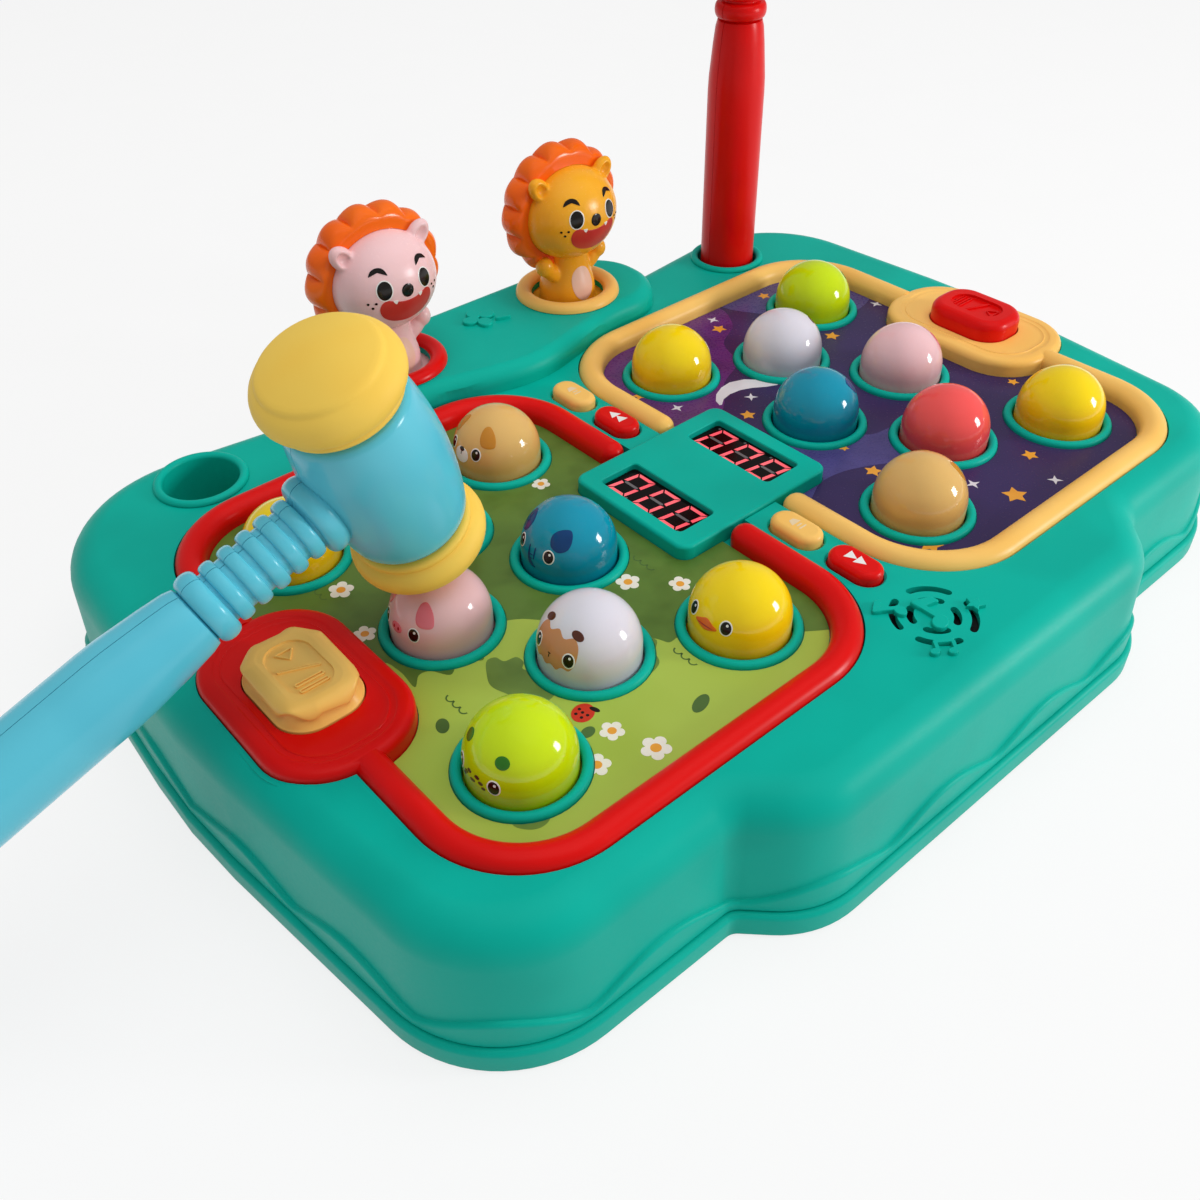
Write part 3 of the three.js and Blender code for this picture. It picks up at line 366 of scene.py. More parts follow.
@dataclass(frozen=True)
class Finish:
    """A plastic or printed finish: an uneven colour, and a fine grain in its gloss and its relief; with a base,
    painted shade at its foot.
    """

    name: str
    colour: str
    shade: str
    roughness: float = 0.35
    patch: float = 45.0
    relief: float = 0.06
    depth: float = 0.0
    metal: float = 0.0
    gloss: float = 0.25
    glow: float = 0.0
    # Heights in mm of painted shade at the foot: the shade colour below the first, the colour above the second.
    base: Optional[Flat] = None
    slot: str = ""

    def material(self) -> bpy.types.Material:
        """The finish as a material, made once."""
        return bpy.data.materials.get(self.name) or self.mix()

    def mix(self) -> bpy.types.Material:
        """Build the node tree.

        Returns:
            The new material.
        """
        look = bpy.data.materials.new(self.name)
        look.use_nodes = True
        tree = look.node_tree
        link = tree.links.new
        shader = tree.nodes["Principled BSDF"]
        where = tree.nodes.new("ShaderNodeTexCoord").outputs["Object"]
        colour = self.tint(tree, where)
        for socket, value in (
            ("Metallic", self.metal),
            ("Specular IOR Level", self.gloss),
            ("Subsurface Weight", self.depth),
            ("Subsurface Radius", (0.006, 0.005, 0.004)),
            ("Subsurface Scale", 1.0),
            ("Emission Strength", self.glow),
        ):
            shader.inputs[socket].default_value = value
        link(colour, shader.inputs["Base Color"])
        link(colour, shader.inputs["Emission Color"])
        speckle = self.noise(tree, where, 1.2, 4)
        gloss = tree.nodes.new("ShaderNodeMapRange")
        gloss.inputs["To Min"].default_value = self.roughness * 0.82
        gloss.inputs["To Max"].default_value = min(1.0, self.roughness * 1.18)
        link(speckle, gloss.inputs["Value"])
        link(gloss.outputs["Result"], shader.inputs["Roughness"])
        bump = tree.nodes.new("ShaderNodeBump")
        bump.inputs["Strength"].default_value = self.relief
        bump.inputs["Distance"].default_value = 0.2 * MM
        link(speckle, bump.inputs["Height"])
        link(bump.outputs["Normal"], shader.inputs["Normal"])
        return look

    @staticmethod
    def noise(
        tree: bpy.types.NodeTree, where: bpy.types.NodeSocket, size: float, detail: float
    ) -> bpy.types.NodeSocket:
        """A cloudy pattern.

        Args:
            tree: The node tree.
            where: The coordinates it is read at.
            size: Size of its clouds in mm.
            detail: Its octaves.

        Returns:
            The pattern's output.
        """
        noise = tree.nodes.new("ShaderNodeTexNoise")
        noise.inputs["Scale"].default_value = 1 / (size * MM)
        noise.inputs["Detail"].default_value = detail
        tree.links.new(where, noise.inputs["Vector"])
        return noise.outputs["Fac"]

    def tint(self, tree: bpy.types.NodeTree, where: bpy.types.NodeSocket) -> bpy.types.NodeSocket:
        """The colour: soft patches from the shade to the colour, or, if it has a base, painted shade: the shade
        colour at the foot, rising to the colour higher up.

        Args:
            tree: The node tree.
            where: The coordinates it is read at.

        Returns:
            The colour's output.
        """
        link = tree.links.new
        blend = tree.nodes.new("ShaderNodeValToRGB")
        for element, place, colour in zip(blend.color_ramp.elements, (0.3, 0.55), (self.shade, self.colour)):
            element.position, element.color = place, linear(colour)
        cloud = self.noise(tree, where, self.patch, 2)
        if self.base is None:
            link(cloud, blend.inputs["Fac"])
            return blend.outputs["Color"]
        # Painted shade: the colour darkens towards the foot between the base's two heights, where the lower part
        # falls in shade.
        split = tree.nodes.new("ShaderNodeSeparateXYZ")
        link(where, split.inputs["Vector"])
        rise = tree.nodes.new("ShaderNodeMapRange")
        painted_shade_limits = {"From Min": self.base[0] * MM, "From Max": self.base[1] * MM, "To Min": 0.3, "To Max": 0.52}
        for socket, value in painted_shade_limits.items():
            rise.inputs[socket].default_value = value
        link(split.outputs["Z"], rise.inputs["Value"])
        mixed = tree.nodes.new("ShaderNodeMath")
        mixed.operation = "MULTIPLY_ADD"
        mixed.inputs[1].default_value = 0.06
        link(cloud, mixed.inputs[0])
        link(rise.outputs["Result"], mixed.inputs[2])
        link(mixed.outputs["Value"], blend.inputs["Fac"])
        return blend.outputs["Color"]


def ball_finish(slot: str, colour: str, shade: str, depth: float = 0.12) -> Finish:
    """Glossy, slightly translucent finish of one kind of dome, with painted shade: the shade colour at its foot,
    giving way to the colour higher up.
    """
    # The base heights lay painted shade on the dome's lower part.
    look = {"roughness": 0.1, "gloss": 0.5, "base": (44.0, 66.0), "slot": slot}
    return Finish(f"{slot}_dome", colour, shade, depth=depth, **look)


def ink(name: str, colour: str, shade: str, roughness: float = 0.16, glow: float = 0.0) -> Finish:
    """A smooth printed colour."""
    return Finish(f"{name}_ink", colour, shade, roughness=roughness, patch=12, relief=0.01, gloss=0.4, glow=glow)


TEAL = Finish("teal_plastic", "04b6a3", "04ad9b", roughness=0.42, gloss=0.12, slot="teal")
RED = Finish("red_plastic", "e60a08", "da0807", roughness=0.3, gloss=0.2, slot="red")
CREAM = Finish("cream_plastic", "ffcc70", "fbc262", roughness=0.33, gloss=0.2, slot="cream")
SKY = Finish("sky_plastic", "62cfe6", "58c4dc", roughness=0.22, gloss=0.4, slot="sky")
BUTTER = Finish("butter_rubber", "ffd65e", "ffcc4e", roughness=0.55, relief=0.1, slot="butter")
# Each dome's second colour is painted shade, laid at the dome's foot.
YELLOW = ball_finish("yellow", "ffdc0e", "f09c06")
LIME = ball_finish("lime", "cfea0a", "a4bc08")
WHITE = ball_finish("white", "e4e0ea", "b8b0bd")
BLUE = ball_finish("blue", "0896b4", "066a82", 0.1)
PINK = ball_finish("pink", "f4c8cc", "cf9a9c")
CORAL = ball_finish("coral", "fb5a58", "cf2a32")
TAN = ball_finish("tan", "e8bb70", "bf8b42")
ORANGE = Finish("orange_mane", "ff7212", "fe640c", roughness=0.2, depth=0.06, gloss=0.35, slot="orange")
BLUSH = Finish("blush_skin", "fbd0d2", "f6c2c4", roughness=0.26, depth=0.12, gloss=0.35, slot="blush")
AMBER = Finish("amber_skin", "ffb52c", "fba81e", roughness=0.26, depth=0.12, gloss=0.35, slot="amber")
GLASS = Finish("window_glass", "0c0607", "0a0506", roughness=0.12, relief=0.01, gloss=0.15, slot="glass")
BOARD = Finish("board_green", "1d6b3a", "175a30", roughness=0.6)
BLACK = Finish("black_plastic", "1c1c1e", "141416", roughness=0.55, slot="black")
RUBBER = Finish("foot_rubber", "3d3f42", "343639", roughness=0.85, relief=0.2, slot="rubber")
STEEL = Finish("steel", "c6c9cc", "a9adb1", roughness=0.28, metal=1.0, gloss=0.5, slot="steel")
MEADOW = Finish("meadow_print", "adc453", "a3ba48", roughness=0.32, relief=0.01, slot="meadow")
NIGHT = Finish("night_print", "3a2c5c", "32264f", roughness=0.26, relief=0.01, slot="night")
INK = ink("black", "17110e", "0f0b09")
CHALK = ink("white", "f6f5f2", "eeece8")
LEAF = ink("dark_green", "2f7a1c", "2a6e18")
BEAK = ink("orange", "f0701a", "e86412")
RUST = ink("rust", "cf8a2c", "c27e22")
BROWN = ink("brown", "5b2f22", "50281d")
FAWN = ink("fawn", "cf8f60", "c48252")
ROSE = ink("rose", "ee7f8d", "e67280")
BERRY = ink("berry", "b8262f", "aa2029")
NAVY = ink("navy", "0a3f78", "08366a")


def dress(piece: Piece, finish: Finish, body: str, *nodes: str, slot: str = "", name: str = "") -> Piece:
    """Give a finished piece its material and the body it rides on, and hide the nodes it stands for.

    Args:
        piece: The piece.
        finish: Its finish.
        body: The moving body it rides on.
        nodes: The nodes that it replaces.
        slot: Not used.
        name: The piece's name, where it has another yet.

    Returns:
        The piece.
    """
    piece.name = name or piece.name
    piece.data.materials.clear()
    piece.data.materials.append(finish.material())
    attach(piece, body)
    if nodes:
        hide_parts(*nodes)
    LOG.info("%s: %d faces on %s", piece.name, len(piece.data.polygons), body)
    return piece


# Printed shapes


def oval(wide: float, tall: float, x: float = 0, y: float = 0, turn: float = 0, count: int = 24) -> list[Flat]:
    """Oval outline in a face's own plane.

    Args:
        wide: Width in mm.
        tall: Height in mm.
        x: Its middle, towards the viewer's right.
        y: Its middle, upwards.
        turn: Turn in degrees.
        count: Number of points.

    Returns:
        Pairs of right and up.
    """
    c, s = math.cos(math.radians(turn)), math.sin(math.radians(turn))
    arms = [(wide / 2 * math.cos(angle), tall / 2 * math.sin(angle)) for angle in around(count)]
    return [(x + a * c - b * s, y + a * s + b * c) for a, b in arms]


def curve(points: Sequence[Flat], steps: int = 6) -> list[Flat]:
    """Smooth closed outline through some points, with some steps between neighbours.

    Args:
        points: The points.
        steps: Steps from each to the next.

    Returns:
        The outline.
    """
    count = len(points)
    made = []
    for i in range(count):
        p = [Vector(points[(i + k) % count]) for k in (-1, 0, 1, 2)]
        for k in range(steps):
            t = k / steps
            a = 2 * p[1] + (p[2] - p[0]) * t
            b = (2 * p[0] - 5 * p[1] + 4 * p[2] - p[3]) * t * t + (3 * p[1] - p[0] - 3 * p[2] + p[3]) * t ** 3
            made.append(tuple((a + b) / 2))
    return made


def flower(x: float, y: float, size: float, turn: float) -> list[Flat]:
    """Outline of a daisy's five petals.

    Args:
        x: Its middle.
        y: Its middle.
        size: Its size in mm.
        turn: Its turn in radians.

    Returns:
        The outline.
    """
    points = []
    for angle in around(50):
        reach = size * 0.86 * (0.66 + 0.34 * abs(math.sin(angle * 2.5)) ** 0.7)
        points.append((x + reach * math.cos(angle + turn), y + reach * math.sin(angle + turn)))
    return points


def star(x: float, y: float, size: float, turn: float, arms: int = 5, waist: float = 0.5) -> list[Flat]:
    """Outline of a star.

    Args:
        x: Its middle.
        y: Its middle.
        size: Reach of its points in mm.
        turn: Its turn in radians.
        arms: Number of points.
        waist: Share of the reach between them.

    Returns:
        The outline.
    """
    points = []
    for i in range(arms * 2):
        reach = size * (waist if i % 2 else 1)
        angle = math.pi * i / arms + turn
        points.append((x + reach * math.cos(angle), y + reach * math.sin(angle)))
    return points


@dataclass(frozen=True)
class Skin:
    """A ball or egg that printed shapes lie on; it looks towards -X."""

    radii: Point
    centre: Point = (0.0, 0.0, 0.0)

    def seat(self, azimuth: float, elevation: float, right: float, up: float, lift: float) -> Point:
        """A point on the skin.

        Args:
            azimuth: Heading of the shape's middle, towards the viewer's left, in degrees.
            elevation: Its height above the horizon.
            right: Way along the skin to the viewer's right in mm.
            up: Way upwards.
            lift: Height above the skin.

        Returns:
            The point in mm.
        """
        az, el = math.radians(azimuth), math.radians(elevation)
        out = Vector((-math.cos(el) * math.cos(az), math.cos(el) * math.sin(az), math.sin(el)))
        east = Vector((-math.sin(az), -math.cos(az), 0))
        north = Vector((math.sin(el) * math.cos(az), -math.sin(el) * math.sin(az), math.cos(el)))
        way = math.hypot(right, up)
        mean = sum(self.radii) / 3
        if way > 0:
            out = out * math.cos(way / mean) + (east * right + north * up) / way * math.sin(way / mean)
        return tuple(c + o * (r + lift) for c, o, r in zip(self.centre, out, self.radii))

    def patch(self, shape: Sequence[Flat], azimuth: float, elevation: float, lift: float = 0.12) -> Piece:
        """A thin printed shape on the skin.

        Args:
            shape: Its outline, right and up in mm.
            azimuth: Heading of its middle in degrees.
            elevation: Height of its middle.
            lift: Its thickness.

        Returns:
            The shape as a thin closed body.
        """
        mid_x, mid_y = (sum(values) / len(shape) for values in zip(*shape))
        levels = [(1, -0.3), (1, 0.6 * lift)] + [(share, lift) for share in (0.96, 0.75, 0.5, 0.25, 0)]
        return loft("patch", [
            [
                self.seat(azimuth, elevation, mid_x + (x - mid_x) * share, mid_y + (y - mid_y) * share, high)
                for x, y in shape
            ]
            for share, high in levels
        ])


Print = tuple[Finish, list, float, float, float]


def eyes(azimuth: float, elevation: float, wide: float = 3.6, tall: float = 4.5, glint: float = 0.9) -> list[Print]:
    """A pair of oval eyes with a thin pale ring, and a glint unless its size is nought.

    Args:
        azimuth: Heading of the left one in degrees.
        elevation: Height of both.
        wide: Width in mm.
        tall: Height in mm.
        glint: Size of the glint.

    Returns:
        The prints.
    """
    made: list[Print] = []
    for side in SIDES:
        made.append((CHALK, oval(wide + 0.8, tall + 0.8), side * azimuth, elevation, 0.10))
        made.append((INK, oval(wide, tall), side * azimuth, elevation, 0.15))
        if glint:
            made.append((CHALK, oval(glint, glint, wide * 0.1, tall * 0.22), side * azimuth, elevation, 0.2))
    return made


def pair(finish: Finish, shape: list[Flat], azimuth: float, elevation: float, lift: float = 0.12) -> list[Print]:
    """The same shape on both sides of a face, mirrored."""
    mirrored = [(-x, y) for x, y in reversed(shape)]
    return [(finish, shape, azimuth, elevation, lift), (finish, mirrored, -azimuth, elevation, lift)]


def printed(prints: Sequence[Print], skin: Skin) -> dict[Finish, Piece]:
    """Shapes printed on a skin, as one piece for each finish.

    Args:
        prints: The shapes.
        skin: What they lie on.

    Returns:
        A piece for each finish.
    """
    looks: dict[Finish, list[Piece]] = {}
    for finish, shape, azimuth, elevation, lift in prints:
        looks.setdefault(finish, []).append(skin.patch(shape, azimuth, elevation, lift))
    return {finish: smoothed(joined(finish.name, made), 50) for finish, made in looks.items()}


# Body


@dataclass
class Levels:
    """Heights that many pieces share, in mm above the table."""

    lip: float = 9.5
    cover: float = 9.8
    deck: float = 54.0
    under: float = 51.6
    sheet: float = 50.0
    sheet_under: float = 49.2
    floor: float = 48.9
    floor_under: float = 46.7
    platform: float = 64.0
    platform_under: float = 61.6
    dome: float = 55.8


AT = Levels()


@dataclass
class Layout:
    """Plan of the toy: outlines and places that several pieces share."""

    field_x: float = 92.2
    paddle_x: float = 170.5
    lion_x: float = 48.0
    lion_y: float = 135.5
    socket_x: float = 142.0
    socket_y: float = 125.2
    frame_in: float = 13.6
    frame_half: float = 5.2
    window_x: Flat = (-23, 22)
    wire_x: float = 23.0
    screw_y: float = 14.5
    switch_x: float = 62.0
    wall: float = 7.4
    dome: float = 17.0
    pills: tuple[float, ...] = (-74.3, -47.7, 47.7, 74.3)
    dome_steps: tuple[Flat, ...] = (
        (45.3, 65.2), (45.3, -65.2), (-45.3, 65.2), (-45.3, -65.2), (0, 42.9), (0, -42.9), (27.3, 0), (-27.3, 0),
    )

    @staticmethod
    def mirrored(corners: list[Point]) -> list[Point]:
        """Corners of the right half, followed by those of the left half."""
        return corners + [(-x, y, r) for x, y, r in reversed(corners)]

    def body(self, arc: float = 5, longest: float = 4) -> Outline:
        """Plan of the whole body, in lobes.

        Args:
            arc: Turn between the samples of a corner in degrees.
            longest: Greatest step of a side in mm.

        Returns:
            The outline.
        """
        right = [(88, -143, 36), (107, -124, 5), (197, -123, 46), (213, 20, 300)]
        right += [(204, 165, 58), (96, 151, 5), (94, 169, 14)]
        return rounded(self.mirrored(right), arc, longest)

    def platform(self) -> Outline:
        """Plan of the raised platform under the lions."""
        return rounded([(0, 94, 60)] + self.mirrored([(50, 107.5, 60), (90, 107.5, 26), (90, 162, 26)]), 6, 12)

    def frame(self, side: int) -> Outline:
        """Plan of one field's frame centre line."""
        corners = [(171, -100.8, 32), (171, 100.8, 32), (self.frame_in, 100.8, 34), (self.frame_in, -100.8, 34)]
        return rounded([(side * x, side * y, r) for x, y, r in corners], 5)

    def paddle(self, side: int) -> Outline:
        """Plan of one start paddle."""
        return rectangle(50, 78, 22, side * self.paddle_x)

    def score(self) -> Outline:
        """Plan of the scoreboard."""
        return rectangle(76, 60, 5)

    def start(self, side: int, inset: float = 0, corner: float = 11) -> Outline:
        """Plan of one start button; the night one is smaller."""
        less = (2.6 if side > 0 else 0.8) + 2 * inset
        return rectangle(30 - less, 40 - less, corner, side * self.paddle_x)

    def pill(self, y: float, grow: float = 0) -> Outline:
        """Plan of one setting button."""
        return rectangle(11.4 + 2 * grow, 21 + 2 * grow, 5.7 + grow, 0, y)

    def door(self, grow: float = 0) -> Outline:
        """Plan of the battery door."""
        return rectangle(68 + 2 * grow, 80 + 2 * grow, 5, 0, 50)

    def domes(self, side: int) -> list[Flat]:
        """Places of one field's eight domes."""
        return [(side * (self.field_x + x), side * y) for x, y in self.dome_steps]


PLAN = Layout()


@dataclass
class Cover:
    """Upper body: a wavy moulded wall, a wide shoulder, pans for the fields and a lion platform."""

    bumps: int = 24
    bump_low: float = 13.0
    bump_tall: float = 8.0
    shoulder: float = 13.0
    dome_hole: float = 17.5
    lion_hole: float = 16.4
    socket_hole: float = 16.6
    wire_hole: float = 4.0
    collar: float = 21.0
    collar_rise: float = 2.1
    grille_y: float = -107.0
    slot_half: float = 1.3

    def build(self) -> None:
        """Model and dress the cover."""
        piece = self.outer()
        cut(piece, [soft_plate("platform", PLAN.platform(), 41, AT.platform, 6.5)], Cut.ADD)
        outline = PLAN.body(10, 30)
        hollow = [outline.ring(PLAN.wall, 3.8), outline.ring(PLAN.wall, 41), outline.ring(18, AT.under)]
        cut(piece, [loft("hollow", hollow)])
        cut(piece, [plate("hollow", PLAN.platform(), 48, AT.platform_under, 2.4)])
        self.pans(piece, AT.floor_under, 52.8, 1.9, Cut.ADD)
        self.pans(piece, AT.floor, 60, 0.3, Cut.AWAY)
        cut(piece, [self.ring(*place) for side in SIDES for place in PLAN.domes(side)], Cut.ADD)
        cut(piece, self.holes())
        dress(smoothed(piece, 32), TEAL, "body", "top_cover", name="cover")
        self.reliefs()

    def wave(self, outline: Outline, sample: Sample) -> float:
        """Height of the wavy crease at one sample."""
        turns = (sample.along + abs(outline.samples[0].x)) * self.bumps / outline.total
        return self.bump_low + self.bump_tall * abs(math.sin(turns * math.pi)) ** 1.3

    def outer(self) -> Piece:
        """Outer skin as a closed body.

        Returns:
            The body.
        """
        outline = PLAN.body()
        rings = [outline.ring(2.3, AT.cover), outline.ring(2, AT.cover + 0.5)]
        crease = ((2.0, -1.6), (2.1, -0.9), (2.4, -0.35), (2.9, -0.05), (3.5, 0.1), (3.7, 0.5), (3.9, 4))
        for inset, drop in crease:
            rings.append(outline.ring(inset, lambda s, d=drop: self.wave(outline, s) + d))
        for radius, height in arc_points(0, 0, self.shoulder, 0, 90, 9):
            rings.append(outline.ring(5 + self.shoulder - radius, AT.deck - self.shoulder + height))
        return loft("cover", rings)

    def pans(self, piece: Piece, low: float, high: float, grow: float, how: Cut) -> None:
        """Add or sink the pans of the fields, their paddles and the scoreboard.

        Args:
            piece: The cover.
            low: Lowest height in mm.
            high: Highest height.
            grow: Margin round what the pans hold.
            how: Whether the pans are added or cut away.
        """
        cut(piece, [plate("pan", PLAN.score(), low, high, -grow)], how)
        cut(piece, [plate("pan", PLAN.frame(side), low, high, -PLAN.frame_half - grow) for side in SIDES], how)
        cut(piece, [plate("pan", PLAN.paddle(side), low, high, -grow) for side in SIDES], how)

    def ring(self, x: float, y: float) -> Piece:
        """Collar round one dome, solid until the dome's hole is cut.

        Args:
            x: Place of the dome.
            y: Place of the dome.

        Returns:
            The collar.
        """
        half = (self.collar - self.dome_hole) / 2
        crown = arc_points(self.collar - half, AT.sheet + self.collar_rise - half, half, 0, 180, 8)
        profile = [(0, AT.floor_under), (self.collar, AT.floor_under), *crown, (0, AT.sheet)]
        return moved(turned("collar", profile), x, y)

    def holes(self) -> list[Piece]:
        """Holes for domes, lions, sockets, buttons, wires and the speaker's grille.

        Returns:
            The tools that cut them.
        """
        tools = self.grille()
        for side in SIDES:
            tools.append(peg(side * PLAN.lion_x, PLAN.lion_y, self.lion_hole, *BORE, 64))
            tools.append(peg(side * PLAN.socket_x, PLAN.socket_y, self.socket_hole, *BORE, 64))
            tools.append(peg(side * PLAN.wire_x, 0, self.wire_hole, *BORE, 16))
            tools.append(plate("hole", PLAN.start(side), *BORE, -0.5))
            tools += [peg(x, y, self.dome_hole, *BORE, 48) for x, y in PLAN.domes(side)]
        low, high = BORE
        levels = ((0, low), (0, AT.deck - 0.8), (-0.6, AT.deck - 0.1), (-0.75, AT.deck + 0.1), (-0.75, high))
        for y in PLAN.pills:
            hole = PLAN.pill(y, 0.5)
            tools.append(loft("hole", [hole.ring(inset, z) for inset, z in levels]))
        return tools

    def grille(self) -> list[Piece]:
        """Arc slots of the speaker grille: two rings of four with rounded ends.

        Returns:
            The tools that cut them.
        """
        slots = []
        wide = self.slot_half
        ends = [math.pi * k / 6 for k in range(1, 6)]
        for radius in (13.3, 7.7):
            for i in range(4):
                middle = math.pi / 2 * (i + 0.5)
                half = math.radians(34) - wide / radius
                angles = [middle + half * (k / 8 - 1) for k in range(17)]
                plan = [(radius + wide, a) for a in angles]
                plan += [(radius + wide * math.cos(e), angles[-1] + wide * math.sin(e) / radius) for e in ends]
                plan += [(radius - wide, a) for a in reversed(angles)]
                plan += [(radius - wide * math.cos(e), angles[0] - wide * math.sin(e) / radius) for e in ends]
                flat = [(r * math.cos(a), r * math.sin(a) + self.grille_y) for r, a in plan]
                slots.append(upright("slot", flat, 45, 60))
        return slots

    @staticmethod
    def reliefs() -> None:
        """Raised notes and a star round the grille, and a clover on the platform."""
        flag = [(0.6, 17.4), (3.6, 17), (7.4, 15.4), (11, 13.4), (11.4, 9.4), (8, 10.2), (4, 11.2), (0.6, 11.6)]
        note = [oval(9.8, 7.8, 0, 0, 20), [(0.6, 0), (4.0, 0), (4.0, 15.5), (0.6, 15.5)], curve(flag, 4)]
        notes = [oval(5, 4, x, 0, 20) for x in (0, 8.5)]
        notes += [[(x, 0), (x + 2.1, 0), (x + 2.1, 7), (x, 7)] for x in (0.5, 9.0)]
        notes.append([(0.7, 5.2), (10.9, 5.8), (10.9, 8), (0.7, 7.4)])
        clover = [oval(7.6, 6.4, 4.5 * math.cos(a), 4.5 * math.sin(a), math.degrees(a)) for a in (0.2, 1.6, 3.0, 4.6)]
        clover.append(curve([(5, -5.8), (10.8, -7.8), (11, -6.4), (6, -4.4)], 4))
        signs = (
            ("big_note", note, -2.1, -110.9, 0.7, 0, AT.deck),
            ("left_note", note, -7.2, -98.9, 0.52, 56, AT.deck),
            ("double_note", notes, -14.7, -118.3, 0.68, -38, AT.deck),
            ("small_star", [star(0, 0, 3.5, 0.3)], 13.4, -113.1, 1, 0, AT.deck),
            ("clover", clover, 1.7, 140.2, 1, 0, AT.platform),
        )
        for name, shapes, x, y, size, turn, deck in signs:
            made: Optional[Piece] = None
            spin = Matrix.Rotation(math.radians(turn), 2)
            for shape in shapes:
                flat = [Vector((x, y)) + spin @ Vector(point) * size for point in shape]
                middle = sum(flat, Vector((0, 0))) / len(flat)
                rings = []
                for share, height in ((1, -0.4), (1, 0.9), (0.95, 1.3), (0.86, 1.45)):
                    rings.append([(*(middle + (point - middle) * share), deck + height) for point in flat])
                body = loft(name, rings)
                made = cut(made, [body], Cut.ADD) if made else body
            dress(smoothed(made, 50), TEAL, "body")


@dataclass
class Tray:
    """Lower body: the lip round the foot, the floor with its posts, and the battery bay."""

    feet: tuple[Flat, ...] = ((-165, -88), (165, -88), (-165, 118), (165, 118))
    screw_hole: float = 1.8
    under: float = -6.0

    def build(self) -> None:
        """Model and dress the tray."""
        outline = PLAN.body()
        edge = ((1.0, 0), (0.3, 0.3), (0, 1.0), (0, 7.6), (0.25, 8.5), (0.9, 9.2), (1.9, AT.lip))
        piece = loft("tray", [outline.ring(inset, z) for inset, z in edge])
        cut(piece, [plate("hollow", PLAN.body(10, 30), 2.4, 20, PLAN.wall)])
        cut(piece, [plate("ledge", PLAN.door(2.5), 0, 4.5)], Cut.ADD)
        cut(piece, [plate("bay", PLAN.door(-6.8), 0, 21.2)], Cut.ADD)
        cut(piece, self.posts(), Cut.ADD)
        cut(piece, [plate("bay", PLAN.door(-9), self.under, 19)])
        cut(piece, [plate("door", PLAN.door(0.3), self.under, 2.3), self.well(4, self.under, 3.5)])
        pads = [peg(x, y, 9.3, self.under, 1.5, 48) for x, y in self.feet]
        cut(piece, [self.well(0.5, 1, 20), peg(0, PLAN.screw_y, self.screw_hole, self.under, 10.3), *pads])
        dress(smoothed(piece), TEAL, "body", "base_tray")

    @staticmethod
    def well(grow: float, low: float, high: float) -> Piece:
        """Well of the power switch, grown by a margin."""
        return plate("well", rectangle(5 + 2 * grow, 13 + 2 * grow, 1, PLAN.switch_x, 98), low, high)

    def posts(self) -> list[Piece]:
        """Posts under the boards and the lions, the screw's boss and the switch's housing.

        Returns:
            The bodies.
        """
        tools = [peg(0, y, 4, 0, 36.1) for y in (-71, 71)]
        tools += [peg(side * x, y, 4, 0, 26.1) for side in SIDES for x in (49.9, 167.5) for y in (-24, 24)]
        for side in SIDES:
            profile = [(0, 0), (8.4, 0), (8.4, 28), (4.6, 28), (4.6, 50), (0, 50)]
            tools.append(moved(turned("post", profile, 24), side * PLAN.lion_x, PLAN.lion_y))
        return tools + [peg(0, PLAN.screw_y, 4, 0, 12.2), self.well(6.2, 0, 5.9)]


# Fields and their buttons


@dataclass
class FieldFrame:
    """Half-round frame of one field, with the start paddle at its outer end."""

    side: int
    name: str
    finish: Finish
    high: float = 57.4
    gap: float = 31.0

    def section(self, narrow: float = 1.0) -> list[Flat]:
        """Section of the bead, narrowed towards its ends.

        Args:
            narrow: Share of its width.

        Returns:
            Pairs of distance from the centre line and height.
        """
        half = PLAN.frame_half
        base = self.high - half
        crown = [(r, base + (z - base) * narrow) for r, z in arc_points(0, base, half, 180, 0, 14)]
        return [(a * narrow, z) for a, z in [(-half, AT.sheet_under)] + crown + [(half, AT.sheet_under)]]

    def bead(self) -> Piece:
        """The bead, from one rounded end at the scoreboard to the other.

        Returns:
            The bead.
        """
        samples = PLAN.frame(self.side).samples
        quarter = len(samples) // 4
        path = samples[3 * quarter :] + samples[: 3 * quarter]
        rings = [[(s.x + s.nx * a, s.y + s.ny * a, z) for a, z in self.section()] for s in path]
        for end in SIDES:
            for k in range(7):
                angle = math.radians(15 * k)
                y = end * self.side * (self.gap + PLAN.frame_half * (1 - math.sin(angle)))
                section = self.section(max(math.cos(angle), 0.0))
                ring = [(self.side * (PLAN.frame_in - a), y, z) for a, z in section]
                rings.insert(0 if end < 0 else len(rings), ring)
        return loft("bead", rings)

    def paddle(self) -> Piece:
        """The paddle: a rounded plate with two low terraces round the button.

        Returns:
            The paddle.
        """
        outline = PLAN.paddle(self.side)
        levels = [(0, AT.sheet_under)] + [(3 + r, 54 + z) for r, z in arc_points(0, 0, 3, 180, 90, 6)]
        levels += [(4.2, 57.05), (5.2, 57.05), (5.5, 56.85), (5.8, 56.65), (7.4, 56.65), (7.6, 56.9), (7.9, 56.9)]
        levels += [(8.2, 56.65), (9.9, 56.6)]
        return loft("paddle", [outline.ring(inset, height) for inset, height in levels])

    def build(self) -> None:
        """Model and dress the frame."""
        piece = self.bead()
        cut(piece, [plate("tool", PLAN.paddle(self.side), *BORE, 2)])
        cut(piece, [self.paddle()], Cut.ADD)
        cut(piece, [plate("tool", PLAN.start(self.side), *BORE, -0.5)])
        dress(smoothed(piece, 40), self.finish, "body", self.name, name=self.name)


